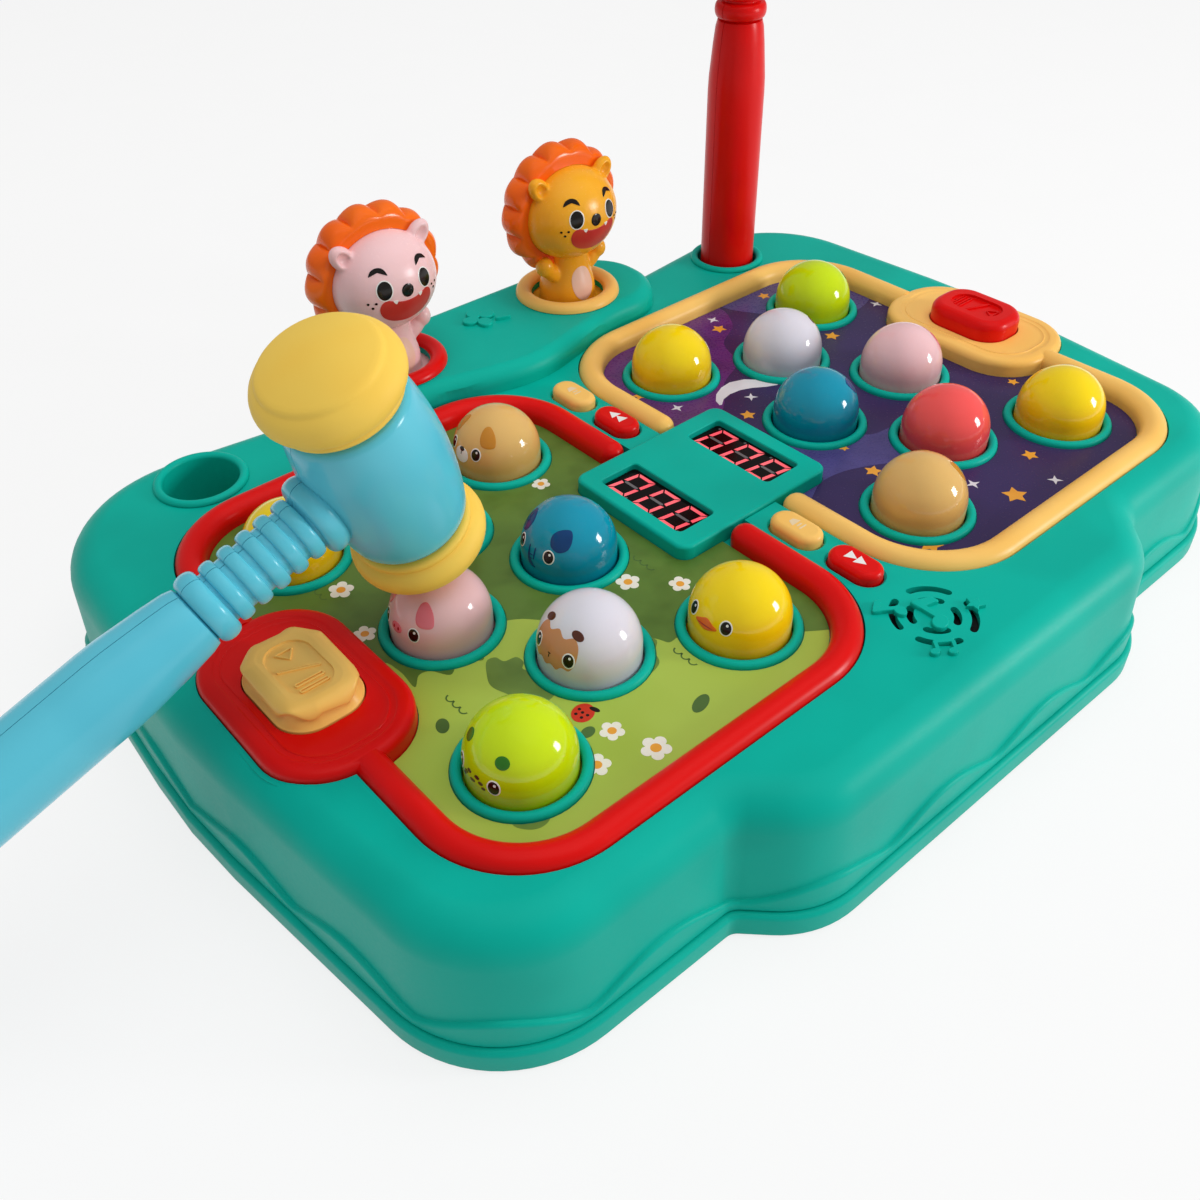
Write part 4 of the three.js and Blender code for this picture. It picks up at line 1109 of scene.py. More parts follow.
@dataclass
class StartButton:
    """Start button with a sunk panel and its signs; one of them looks glazed."""

    side: int
    time: str
    finish: Finish
    glazed: bool
    top: float = 65.0
    low: float = 44.4

    def build(self) -> None:
        """Model and dress the button."""
        outline = PLAN.start(self.side)
        piece = loft("button", self.glaze(outline) if self.glazed else self.plain(outline))
        cut(piece, [plate("flange", outline, self.low, self.low + 2, -2.4)], Cut.ADD)
        cut(piece, [peg(self.side * PLAN.paddle_x, 0, 3, 34.8, 45)], Cut.ADD)
        deep = self.top - 1.4
        levels = ((7.4, deep), (6.9, deep + 0.3), (6.3, BORE[1]))
        cut(piece, [loft("panel", [PLAN.start(self.side, inset, 6.8).ring(0, z) for inset, z in levels])])
        for sign in self.signs():
            cut(piece, [sign], Cut.ADD)
        name = f"{self.time}_start"
        dress(smoothed(piece, 40), self.finish, name, f"{name}_button", name=name)

    def plain(self, outline: Outline) -> list[Ring]:
        """Rings of a plain rounded button."""
        crown = [outline.ring(4 + r, self.top - 4 + z) for r, z in arc_points(0, 0, 4, 180, 90, 6)]
        return [outline.ring(0, self.low), *crown]

    def glaze(self, outline: Outline) -> list[Ring]:
        """Rings of a button whose upper layer runs down the sides in soft drips.

        Args:
            outline: The button's plan.

        Returns:
            The rings.
        """

        def edge(sample: Sample) -> float:
            """Height of the upper layer's lower edge."""
            turns = 2 * math.pi * sample.along / outline.total
            return self.top - 4.1 - 1.3 * math.sin(9 * turns + 0.6) - 0.6 * math.sin(4 * turns + 2)

        rings = [outline.ring(0, self.low), outline.ring(0, 57.0), outline.ring(0.7, 57.8)]
        for inset, rise in ((2.2, -0.45), (2.2, -0.2), (1.6, -0.05), (1.0, 0.2), (0.75, 0.7), (0.8, 1.2)):
            rings.append(outline.ring(inset, lambda s, r=rise: edge(s) + r))
        for k in range(1, 8):
            tilt = math.radians(90 * k / 7)
            share, inset = math.sin(tilt), 0.8 + 4.0 * (1 - math.cos(tilt))
            rings.append(outline.ring(inset, lambda s, t=share: (edge(s) + 1.2) * (1 - t) + (self.top - 0.1) * t))
        return rings + [outline.ring(5.6, self.top), outline.ring(6.7, self.top - 0.35)]

    def signs(self) -> list[Piece]:
        """Outlined play, slash and pause signs, raised from the panel, read from the player's side.

        Returns:
            The signs.
        """
        shapes = [[(-9.8, -3.6, 0.4), (-4.8, 0, 0.4), (-9.8, 3.6, 0.4)]]
        shapes += [[(-3.3, -6.2, 0.5), (-1.9, -6.2, 0.5), (3.3, 6.2, 0.5), (1.9, 6.2, 0.5)]]
        shapes += [[(u, -5, 0.7), (u + 1.8, -5, 0.7), (u + 1.8, 5, 0.7), (u, 5, 0.7)] for u in (5.4, 8.4)]
        low, high = self.top - 1.8, self.top - 0.75
        levels = ((0, low), (0, high - 0.1), (0.1, high), (0.45, high), (0.55, high - 0.1), (0.55, low), (0, low))
        made = []
        for shape in shapes:
            outline = rounded([(self.side * (PLAN.paddle_x - v), self.side * u, r) for u, v, r in shape], 20)
            made.append(loft("sign", [outline.ring(inset, z) for inset, z in levels]))
        return made


@dataclass
class PillButton:
    """Small setting button in the middle of the deck."""

    name: str
    y: float
    finish: Finish
    icon: str
    top: float = 58.0
    low: float = 49.7

    def build(self) -> None:
        """Model and dress the button and its printed icon."""
        piece = soft_plate("pill", PLAN.pill(self.y), self.low, self.top, 2.4)
        cut(piece, [plate("flange", PLAN.pill(self.y, 1.6), self.low, self.low + 1.6)], Cut.ADD)
        cut(piece, [peg(0, self.y, 2, 44.3, 50)], Cut.ADD)
        dress(smoothed(piece, 40), self.finish, self.name, f"{self.name}_button", name=f"{self.name}_pill")
        icon = joined(f"{self.name}_icon", self.marks())
        dress(icon, ink("pale", "f3dcb6", "efd6ac") if self.icon == "sound" else CHALK, self.name, slot="white")

    def marks(self) -> list[Piece]:
        """Strokes of the icon.

        Returns:
            The strokes.
        """
        if self.icon == "sound":
            shapes = [[(-1, 3), (1, 3), (2.2, 0.4), (-2.2, 0.4)]]
            shapes += [[(-w, -y), (w, -y), (w, -y - 0.6), (-w, -y - 0.6)] for w, y in ((1.2, 0.6), (1.8, 2.2))]
        else:
            way = 1 if self.icon == "forward" else -1
            arrow = ((-2.3, 2.2), (0, 2.2), (2.3, 2.2), (0, -1.9))
            shapes = [[(way * x, way * (y + up)) for x, up in arrow] for y in (1.7, -2.4)]
        low, high = self.top - 0.3, self.top + 0.05
        return [upright("mark", [(-a, self.y + b) for a, b in shape], low, high) for shape in shapes]


@dataclass
class Scoreboard:
    """Raised plate with two sunk windows and their digits."""

    top: float = 55.6
    window_top: float = 53.2
    slant: float = 0.16
    pitch: float = 13.7

    def build(self) -> None:
        """Model and dress the plate, the windows and the digits."""
        plans = [rectangle(17, 42, 1.5, x) for x in PLAN.window_x]
        piece = soft_plate("score", PLAN.score(), AT.sheet_under, self.top, 1.4)
        levels = ((-0.3, 40), (-0.3, self.top - 0.4), (-0.9, self.top + 0.3))
        cut(piece, [loft("tool", [plan.ring(inset, z) for inset, z in levels]) for plan in plans])
        dress(smoothed(piece, 40), TEAL, "body", "score_housing", name="score_plate")
        for side, time, plan in zip(SIDES, TIMES, plans):
            pane = plate(f"{time}_pane", plan, AT.sheet_under, self.window_top)
            dress(smoothed(pane), GLASS, "body", f"{time}_score_window")
            self.digits(side, time)

    def digits(self, side: int, time: str) -> None:
        """Three digits of one window: lit bars, dull middle bars and dots.

        Args:
            side: Side of the window.
            time: Name of its field.
        """
        lit, dull = [], []
        for place in (-1, 0, 1):
            for name, points in self.bars().items():
                shape = [self.seated(side, place, *point) for point in points]
                group = dull if name in ("middle", "dot") else lit
                group.append(upright("bar", shape, self.window_top - 0.1, self.window_top + 0.08))
        dress(joined(f"{time}_digits", lit), ink("lit_bar", "ff6a74", "ff5866", glow=0.35), "body", slot="glass")
        dress(joined(f"{time}_dull_bars", dull), ink("dull_bar", "6f6a6c", "646063"), "body", slot="glass")

    def seated(self, side: int, place: int, across: float, up: float) -> Flat:
        """Where a point of a digit lies on the deck; digits read from their own player's side."""
        middle = PLAN.window_x[side > 0]
        return (middle - side * up, side * (place * self.pitch + across + self.slant * up))

    @staticmethod
    def bars() -> dict[str, list[Flat]]:
        """Bars of one digit in its own plane, in mm from its middle.

        Returns:
            The outline of each bar.
        """
        w, h, t = 4.6, 7.3, 1.5
        bars = {
            "top": [(-w + 0.4, h), (w - 0.4, h), (w - 0.4 - t, h - t), (-w + 0.4 + t, h - t)],
            "foot": [(-w + 0.4, -h), (w - 0.4, -h), (w - 0.4 - t, -h + t), (-w + 0.4 + t, -h + t)],
            "middle": [
                (-w + 1.1, 0), (-w + 1.7, 0.6), (w - 1.7, 0.6), (w - 1.1, 0), (w - 1.7, -0.6), (-w + 1.7, -0.6),
            ],
            "dot": [(w + 0.7, -h), (w + 1.6, -h), (w + 1.6, -h + 0.9), (w + 0.7, -h + 0.9)],
        }
        side = [(w, h - 0.4), (w, 0.5), (w - t, 0.9), (w - t, h - 0.4 - t)]
        for name, sx, sy in (("a", -1, 1), ("b", 1, 1), ("c", -1, -1), ("d", 1, -1)):
            bars[name] = [(sx * x, sy * y) for x, y in side]
        return bars


# Domes


@dataclass
class Dome:
    """One animal dome: a glossy ball in its collar, with a printed face."""

    animal: str
    finish: Finish
    prints: list[Print]

    def shell(self) -> Piece:
        """Ball, flange and stem, at the origin.

        Returns:
            The dome's body.
        """
        profile = [(0, 37.8), (3, 37.8), (3, 44.4), (19.2, 44.4), (19.2, 46.4), (PLAN.dome, 46.4)]
        profile += arc_points(0, AT.dome, PLAN.dome, 0, 88, 18) + [(0, AT.dome + PLAN.dome)]
        return smoothed(turned(self.animal, profile, 64), 40)

    def build(self, number: int) -> None:
        """Model the dome once, and seat it in both fields.

        Args:
            number: Number of its place in a field.
        """
        parts = printed(self.prints, Skin((PLAN.dome,) * 3, (0, 0, AT.dome)))
        shell = self.shell()
        for side, time in zip(SIDES, TIMES):
            x, y = PLAN.domes(side)[number]
            turn = Matrix.Rotation(math.pi if side > 0 else 0, 4, "Z")
            place = Matrix.Translation(Vector((x, y, 0)) * MM) @ turn
            body = f"{time}_{self.animal}"
            dress(twin(shell, f"{body}_ball", place), self.finish, body, f"{body}_dome")
            for finish, part in parts.items():
                name = f"{body}_{finish.name.replace('_ink', '')}"
                dress(twin(part, name, place), finish, body, slot=self.finish.slot)
        for made in [shell, *parts.values()]:
            bpy.data.objects.remove(made)


def animal_domes() -> list[Dome]:
    """The eight animals, in the order of their places.

    Returns:
        One dome for each animal.
    """
    flap = curve([(-3.0, -3.4), (-2.8, 0.6), (-0.6, 4.2), (1.6, 3.6), (2.9, 0), (2.4, -3.2), (-0.2, -4.2)])
    lobe = curve([(-3.2, 3.6), (0.6, 3.4), (3.2, 1.4), (3.4, -2.2), (0.8, -4.2), (-2.4, -3.2), (-3.8, 0)])
    frog = eyes(26, 9) + pair(LEAF, oval(4.4, 4.0), 33, 37) + pair(BROWN, oval(1.9, 1.3), 6, 12)
    frog += pair(BROWN, oval(1.8, 1.2), 11, 7.4) + pair(BROWN, oval(1.5, 1.0), 14.5, 2.6)
    frog += [(BROWN, oval(2.2, 1.0), 0, 5, 0.12)]
    beak = curve([(-4.6, 0.2), (-2.2, 1.6), (0, 2.5), (2.2, 1.6), (4.6, 0.2), (2, -1.1), (0, -1.5), (-2, -1.1)])
    duck = eyes(26, 21) + [(BEAK, beak, 0, 15, 0.14), (BERRY, oval(6.4, 0.4, 0, -0.1), 0, 15, 0.18)]
    chick = eyes(24, 14) + [(BEAK, curve([(-1.7, 0.5), (0, 1.3), (1.7, 0.5), (0, -1.5)]), 0, 12, 0.14)]
    chick += pair(ROSE, oval(2.6, 1.7), 36, 6)
    dog = eyes(24.7, 20.7) + [(CHALK, oval(7.4, 6.2, 0, -0.8), 0, 17, 0.1), (INK, oval(2.6, 1.8), 0, 22, 0.15)]
    dog += [(INK, oval(0.4, 1.6), 0, 17, 0.14)] + pair(RUST, flap, 41, 44.8)
    wool = [(-9, 6), (-6.4, 8.6), (-3.2, 7), (0, 8.8), (3.2, 7), (6.4, 8.6), (9, 6), (9.6, 1), (8, -2.6), (5.4, -2.4)]
    wool += [(3.4, -4.2), (1.2, -3.2), (-1.2, -4.4), (-3.6, -3), (-6, -4), (-8, -2), (-9.6, 1)]
    sheep = [(FAWN, curve(wool, 4), 0, 17, 0.07)] + eyes(26, 18.6)
    sheep += pair(BROWN, oval(4.4, 2.9, 0, 0, 30), 33, 47, 0.14)
    sheep += [(INK, oval(0.35, 1.4), 0, 15, 0.14), (INK, oval(1.3, 0.4), 0, 18, 0.14)]
    crab = eyes(22, 24) + [(INK, curve([(-2.4, 0.8), (0, -0.4), (2.4, 0.8), (0, 0.1)]), 0, 12, 0.14)]
    crab += pair(BERRY, oval(3, 1.8), 34, 12)
    pig = eyes(25.4, 13.5) + [(ROSE, oval(5.2, 3.8), 0, 13.2, 0.14)] + pair(ROSE, flap, 38, 37.6)
    pig += [(BERRY, oval(0.8, 1.3, x, 0), 0, 13.2, 0.2) for x in (-1.1, 1.1)]
    line = [(-1.7, 2.4), (-1.6, -2), (-0.2, -4.6), (2.2, -4.8), (2.0, -4.2), (0.2, -4.0), (-1.1, -1.8), (-1.2, 2.4)]
    stroke = curve([(-1.7, 2.4), (-1.6, -1.4), (-1.2, -1.4), (-1.2, 2.4)], 3)
    elephant = eyes(25.5, 18.8) + pair(NAVY, lobe, 40, 40.6) + [(NAVY, curve(line, 3), 0, 15, 0.12)]
    elephant += [(NAVY, [(-x, y) for x, y in reversed(stroke)], 0, 15, 0.12)]
    elephant += [(NAVY, oval(1.6, 0.3, 0.1, y), 0, 15, 0.12) for y in (-0.4, -1.8)]
    animals = (
        ("frog", LIME, frog), ("chick", YELLOW, chick), ("duck", YELLOW, duck), ("dog", TAN, dog),
        ("sheep", WHITE, sheep), ("crab", CORAL, crab), ("pig", PINK, pig), ("elephant", BLUE, elephant),
    )
    return [Dome(*animal) for animal in animals]


# Lions


def swollen(piece: Piece, size: float, turns: int) -> Piece:
    """Melt a piece's joints into soft moulded fillets.

    Args:
        piece: The piece.
        size: Mesh size in mm.
        turns: Rounds of smoothing.

    Returns:
        The piece.
    """
    pick(piece)
    skin = piece.modifiers.new("skin", "REMESH")
    skin.mode, skin.voxel_size = "VOXEL", size * MM
    bpy.ops.object.modifier_apply(modifier=skin.name)
    soft = piece.modifiers.new("soft", "SMOOTH")
    soft.factor, soft.iterations = 0.5, turns
    bpy.ops.object.modifier_apply(modifier=soft.name)
    pick(piece)
    bpy.ops.object.shade_smooth()
    return piece


def egg(name: str, radii: Point, centre: Point, steps: int) -> Piece:
    """Egg with three radii at a place, drawn from pole to pole.

    Args:
        name: The egg's name.
        radii: Its radii in mm.
        centre: Its middle.
        steps: Faces round it.

    Returns:
        The egg.
    """
    (a, b, c), (x, y, z), half = radii, centre, steps // 2
    rings = []
    for k in range(half + 1):
        tilt = math.pi * k / half - math.pi / 2
        flat = max(math.cos(tilt), 0) if 0 < k < half else 0
        high = z + c * math.sin(tilt)
        rings.append([(x + a * flat * math.cos(t), y + b * flat * math.sin(t), high) for t in around(steps)])
    return loft(name, rings)


def trunk_radius(height: float) -> float:
    """Radius of a lion's trunk at a height in mm."""
    share = min(max((height - 67) / 15, 0), 1)
    return 12.6 - 3.1 * (1 - math.cos(math.pi * share)) / 2


@dataclass(frozen=True)
class Column(Skin):
    """A round trunk that narrows upwards, for shapes printed on its front."""

    def seat(self, azimuth: float, elevation: float, right: float, up: float, lift: float) -> Point:
        """A point on the trunk; the elevation is a height in mm here.

        Args:
            azimuth: Heading of the shape's middle in degrees.
            elevation: Its height in mm.
            right: Way round the trunk to the viewer's right in mm.
            up: Way upwards.
            lift: Height above the trunk.

        Returns:
            The point in mm.
        """
        radius = trunk_radius(elevation + up) + lift
        angle = math.radians(azimuth) - right / radius
        return (-radius * math.cos(angle), radius * math.sin(angle), elevation + up)


@dataclass
class Lion:
    """Pop-up lion: a moulded body with a printed face, a lobed mane, its ring and its spring."""

    side: int
    name: str
    skin: Finish
    ring_finish: Finish
    radii: Point = (18.5, 22.5, 19.5)
    middle: float = 102.5
    forward: float = 3.0
    lobes: int = 13

    @property
    def place(self) -> Matrix:
        """From the lion's own frame, looking towards -X, to its seat, looking to the front."""
        turn = Matrix.Rotation(math.pi / 2, 4, "Z")
        return Matrix.Translation(Vector((self.side * PLAN.lion_x, PLAN.lion_y, 0)) * MM) @ turn

    def head(self, grow: float = 0) -> Skin:
        """The head as a skin, grown by a margin."""
        return Skin(tuple(r + grow for r in self.radii), (-self.forward, 0, self.middle))

    def build(self) -> None:
        """Model and dress the lion with its ring and spring."""
        dress(self.body(), self.skin, self.name, f"{self.name}_body")
        dress(self.mane(), ORANGE, self.name, f"{self.name}_mane")
        self.face()
        profile = arc_points(20, 64.3, 3.6, 0, 180, 16)
        ring = turned(f"{self.name}_ring_bead", profile + profile[:1], 72)
        moved(ring, self.side * PLAN.lion_x, PLAN.lion_y)
        dress(smoothed(ring), self.ring_finish, "body", f"{self.name}_ring")
        self.spring()

    def body(self) -> Piece:
        """Head, ears, trunk and paws as one moulded body.

        Returns:
            The body at its place.
        """
        trunk = [(0, 59.3), (18.8, 59.3), (18.8, 61.3), (12.6, 61.3)]
        trunk += [(trunk_radius(z), z) for z in range(63, 90, 2)] + [(0, 96)]
        piece = turned(f"{self.name}_moulding", trunk, 56)
        head = self.head()
        cut(piece, [egg("head", head.radii, head.centre, 56)], Cut.ADD)
        for side in SIDES:
            ear = egg("ear", (3.2, 4.5, 6.2), (0, 0, 0), 24)
            cut(ear, [egg("hollow", (2.4, 2.6, 3.8), (-3.0, 0, 0.4), 20)])
            ear.data.transform(Matrix.Rotation(math.radians(-42 * side), 4, "X"))
            cut(piece, [moved(ear, -5.0, side * 17.2, self.middle + 14.2)], Cut.ADD)
            arm = egg("arm", (3.6, 3.6, 7.4), (0, 0, 0), 24)
            arm.data.transform(Matrix.Rotation(math.radians(-48 * side), 4, "X"))
            cut(piece, [moved(arm, -3.0, side * 11.8, 78.0)], Cut.ADD)
            cut(piece, [egg("paw", (4.2, 4.0, 4.4), (-3.4, side * 15.2, 81.6), 24)], Cut.ADD)
        swollen(piece, 0.55, 5)
        piece.data.transform(self.place)
        return piece

    def mane(self) -> Piece:
        """Mane behind the head: a thick ring with puffed lobes along its rim, cut round the head.

        Returns:
            The mane at its place.
        """
        count = self.lobes * 14
        middle = self.middle + 0.5
        rings = []
        for k in range(25):
            tilt = math.radians(-90 + 7.5 * k)
            rim = max(math.cos(tilt), 0) ** 1.6
            ring = []
            for angle in around(count):
                lobe = abs(math.cos(angle * self.lobes / 2)) ** 0.7
                inset = 5.5 * (1 - math.cos(tilt)) + 3.3 * (1 - lobe) * rim
                across, tall = (29.9 - inset) * math.cos(angle), (28.2 - inset) * math.sin(angle)
                ring.append((3.5 + 6.5 * math.sin(tilt), across, middle + tall))
            rings.append(ring)
        rim_ring = rings[-1]
        for share, x in ((0.9, 11.7), (0.75, 13.7), (0.55, 15.4), (0.3, 16.5), (0, 16.8)):
            rings.append([(x, y * share, middle + (z - middle) * share) for _, y, z in rim_ring])
        piece = loft(f"{self.name}_locks", [[(-3.3, 0, middle)] * count, *rings])
        room = self.head(0.1)
        cut(piece, [egg("room", room.radii, room.centre, 56)])
        neck = [(trunk_radius(z) + 0.15, z) for z in range(63, 92, 2)]
        cut(piece, [turned("room", [(0, 63), *neck, (0, 91)], 56)])
        smoothed(piece, 50)
        piece.data.transform(self.place)
        return piece

    def face(self) -> None:
        """Printed face and belly."""
        prints = eyes(24.5, 10.7, 5.5, 7.6, 0)
        prints += [(INK, oval(4.7, 5.4), 0, 5.3, 0.15)]
        brow = [(3.5, -1.2), (2.2, 1.2), (0, 2.1), (-2.4, 1.2), (-3.4, -1.0), (-2.0, -0.5), (0.2, 0.4), (1.8, -0.2)]
        prints += pair(INK, curve(brow, 4), 30, 31)
        for x, y in ((-1.5, 0.8), (1.5, 0.8), (0, -1.1)):
            prints += pair(INK, oval(1.1, 1.0, x, y, 0, 12), 39, -5)
        smile = [(-8.2, 0.9), (-5.4, 0.1), (-2.6, -0.6), (0, -0.8), (2.6, -0.6), (5.4, 0.1), (8.2, 0.9), (10.4, -0.6)]
        smile += [(11.0, -4.0), (9.4, -7.6), (5.6, -10.2), (0, -11.2), (-5.6, -10.2), (-9.4, -7.6), (-11.0, -4.0)]
        prints += [(ink("lip", "cf3a34", "c4302b", 0.3), curve(smile + [(-10.4, -0.6)], 4), 0, -4.0, 0.12)]
        prints += pair(CHALK, curve([(-0.9, 0.7), (0, 0.9), (0.9, 0.7), (0.1, -0.7)], 4), 14.5, -5.2, 0.17)
        looks = [(finish, finish.name, part) for finish, part in printed(prints, self.head()).items()]
        belly = Column((12, 12, 12)).patch(oval(11.6, 14.8, 0, 0, 0, 40), 0, 71.8)
        looks.append((ink("belly", "f3c8b4", "ecbca6", 0.3), "belly", smoothed(belly, 50)))
        for finish, name, part in looks:
            part.data.transform(self.place)
            dress(part, finish, self.name, slot=self.skin.slot, name=f"{self.name}_{name}")

    def spring(self) -> None:
        """Coil spring from its post to the lion's foot."""
        x, y = self.side * PLAN.lion_x, PLAN.lion_y
        low, high, turns, radius, wire, last = 29.0, 58.3, 6, 7, 0.7, 6 * 28
        rings = []
        for i in range(last + 1):
            share = i / last
            angle = 2 * math.pi * turns * share
            rise = low + (high - low) * min(max((share * turns - 0.5) / (turns - 1), 0), 1)
            out = Vector((math.cos(angle), math.sin(angle), 0))
            size = wire * (0.05 if i in (0, last) else 1)
            rings.append([
                tuple(Vector((x, y, rise)) + out * (radius + size * math.cos(t)) + Vector((0, 0, size * math.sin(t))))
                for t in around(12)
            ])
        piece = loft(f"{self.name}_coil", rings)
        dress(smoothed(piece, 60), STEEL, "body", f"{self.name}_spring")
        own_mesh(piece)


# Hammers


@dataclass
class Hammer:
    """Toy hammer: a two-part shell with a ribbed neck, and two soft caps."""

    name: str
    finish: Finish
    place: Matrix

    def build(self) -> None:
        """Model and dress the hammer."""
        shell, cap = self.shell(), self.cap()
        for half, word in ((-1, "left"), (1, "right")):
            piece = twin(shell, f"{self.name}_half_{word}", Matrix.Identity(4))
            cut(piece, [plate("side", rectangle(400, 200, 1, 0, half * 100.12), -300, 100)], Cut.KEEP)
            smoothed(piece, 36)
            piece.data.transform(self.place)
            dress(piece, self.finish, f"{self.name}_hammer", f"{self.name}_hammer_shell_{word}")
        for end, word in ((-1, "front"), (1, "back")):
            made = twin(cap, f"{self.name}_cap_{word}", self.place @ Matrix.Rotation(end * math.pi / 2, 4, "Y"))
            dress(made, BUTTER, f"{self.name}_hammer", f"{self.name}_hammer_cap_{word}")
        for made in (shell, cap):
            bpy.data.objects.remove(made)

    def shell(self) -> Piece:
        """Handle, ribbed neck and barrel as one body.

        Returns:
            The shell in the hammer's own frame.
        """
        top = -NECK_START - NECK_LONG
        bottom = top - HANDLE_LONG
        profile = [(0, bottom)] + arc_points(12.8 - 7, bottom + 7, 7, -90, 0, 8) + [(12.8, bottom + 60)]
        waist = ((12.8, -34), (12.6, -28), (12.1, -22), (11.4, -14), (10.6, -7), (9.8, -4.2))
        profile += [(radius, top + drop) for radius, drop in waist]
        profile += self.bead(top, 7.0, 11.3)
        pitch = (NECK_LONG - 7) / 5
        for i in range(5):
            profile += self.bead(top + 3.5 + (i + 0.5) * pitch, pitch * 0.72, 9.9)
        profile += self.bead(-NECK_START, 7.2, 11.3) + [(8.4, -10), (0, -10)]
        piece = turned(f"{self.name}_shell", profile, 56)
        for vert in piece.data.vertices:
            if abs(vert.co.z / MM + NECK_START) < 3.7:
                vert.co.x *= 1.2
        ends = [(0, -35), (14, -35), (14, -27.1), (15.4, -27), (16.2, -26.4), (17.5, -26.1)]
        ends += [(18.4, -25.5), (18.8, -24.6)]
        belly = [(21.8 - 3.2 * (x / 27) ** 2, x) for x in range(-24, 25, 3)]
        barrel = turned("barrel", ends + belly + [(r, -z) for r, z in reversed(ends)], 72)
        barrel.data.transform(Matrix.Rotation(math.pi / 2, 4, "Y"))
        return cut(piece, [barrel], Cut.ADD)

    @staticmethod
    def bead(middle: float, wide: float, radius: float) -> list[Flat]:
        """Profile of one rounded ring of the neck.

        Args:
            middle: Height of its middle in mm.
            wide: Its width.
            radius: Its greatest radius.

        Returns:
            Pairs of radius and height.
        """
        base = 8.1
        points = []
        for k in range(11):
            angle = math.pi * k / 10 - math.pi / 2
            reach = math.cos(angle) ** 0.6 if 0 < k < 10 else 0
            points.append((base + (radius - base) * reach, middle + wide / 2 * math.sin(angle)))
        return points

    @staticmethod
    def cap() -> Piece:
        """Soft cap: a crowned face with a step round it, and a side that narrows to the barrel.

        Returns:
            The cap, its face upwards.
        """
        profile = [(0, CAP_FACE)]
        for radius in (3, 6, 9, 12, 14, 16, 17.2):
            profile.append((radius, CAP_FACE - CAP_CROWN + math.sqrt(CAP_CROWN ** 2 - radius ** 2)))
        profile += [(17.9, 42.2), (18.2, 41.6), (18.4, 41.1), (18.9, 40.8), (19.9, 40.0), (20.9, 38.8), (21.6, 37.4)]
        profile += [(21.95, 36), (22, 35), (21.8, 33.8), (21.3, 32.6), (20.6, 31.6), (19.9, 30.9), (19.3, 30.5)]
        profile += [(18.9, 30.2), (18.9, 29.9), (19.2, 29.6), (19.2, 28.9), (18.9, 28.2), (18.2, 27.7), (17.3, 27.4)]
        profile += [(16.4, 27.3), (14.3, 27.3), (14.3, 35.3), (0, 35.3)]
        return smoothed(turned("cap", profile, 72), 46)


NECK_START = 22.8  # from the barrel's middle to the middle of its collar
NECK_LONG = 39.3
HANDLE_LONG = 150.0
CAP_FACE = 46.2  # from the barrel's middle to a cap's face
CAP_CROWN = 45.0  # radius of a cap's face


def resting_place() -> Matrix:
    """Where the blue hammer lies: its lower cap just clear of the pig dome.

    Returns:
        From the hammer's own frame to its place.
    """
    away_x, away_y, gap = 11.3, 4, 0.3
    turn = Matrix.Rotation(math.radians(90 - 19.4), 4, "Y") @ Matrix.Rotation(math.radians(5), 4, "Z")
    rise = math.sqrt((PLAN.dome + CAP_CROWN + gap) ** 2 - away_x ** 2 - away_y ** 2)
    crown = Vector((-PLAN.field_x - 27.3 - away_x, away_y, AT.dome + rise))
    middle = crown - turn.to_3x3() @ Vector((CAP_FACE - CAP_CROWN, 0, 0))
    return Matrix.Translation(middle * MM) @ turn


def socket_place() -> Matrix:
    """Where the red hammer stands: its handle in the night field's socket.

    Returns:
        From the hammer's own frame to its place.
    """
    foot = AT.deck - 36 + 0.3
    middle = foot + NECK_START + NECK_LONG + HANDLE_LONG
    return Matrix.Translation(Vector((PLAN.socket_x, PLAN.socket_y, middle)) * MM)


def build_cups() -> None:
    """Model and dress the two hammer sockets: blind cups whose rims sit on the deck."""
    for side, name in zip(SIDES, ("empty", "hammer")):
        rim = arc_points(16.05, 54.3, 1.75, 0, 180, 10)
        profile = [(0, 16), (16.3, 16), (16.3, 54.3), *rim, (14.3, 19), (13.6, 18.2), (12.8, 18), (0, 18)]
        cup = moved(turned(f"{name}_cup", profile, 72), side * PLAN.socket_x, PLAN.socket_y)
        dress(smoothed(cup), TEAL, "body", f"{name}_socket_cup")


# Printed sheets


@dataclass
class Sheet:
    """Printed sheet of one field, with a hole round every collar and its printed shapes."""

    side: int
    time: str
    finish: Finish
    hole: float = 21.3

    def trimmed(self, name: str, low: float, high: float) -> Piece:
        """A plate cut to the field: inside the frame, clear of paddle, scoreboard and collars.

        Args:
            name: The plate's name.
            low: Height of its underside in mm.
            high: Height of its top.

        Returns:
            The plate.
        """
        piece = plate(name, PLAN.frame(self.side), low, high, 5.5)
        cut(piece, [plate("tool", PLAN.paddle(self.side), *BORE, -0.3)])
        cut(piece, [plate("tool", PLAN.score(), *BORE, -0.3)])
        return cut(piece, [peg(x, y, self.hole, *BORE, 48) for x, y in PLAN.domes(self.side)])

    def build(self) -> None:
        """Model and dress the sheet and its print."""
        piece = self.trimmed(f"{self.time}_print", AT.sheet_under, AT.sheet)
        dress(smoothed(piece), self.finish, "body", f"{self.time}_sheet")
        shapes = day_shapes() if self.side < 0 else night_shapes()
        for name, (finish, outlines, height) in shapes.items():
            made = []
            for outline in outlines:
                if sum(a[0] * b[1] - b[0] * a[1] for a, b in zip(outline, outline[1:] + outline[:1])) < 0:
                    outline = outline[::-1]
                made.append(upright("shape", outline, 49.7, AT.sheet + height))
            part = joined(f"{self.time}_{name}", made)
            cut(part, [self.trimmed("room", 49.0, 52)], Cut.KEEP)
            dress(smoothed(part), finish, "body", slot=self.finish.slot)


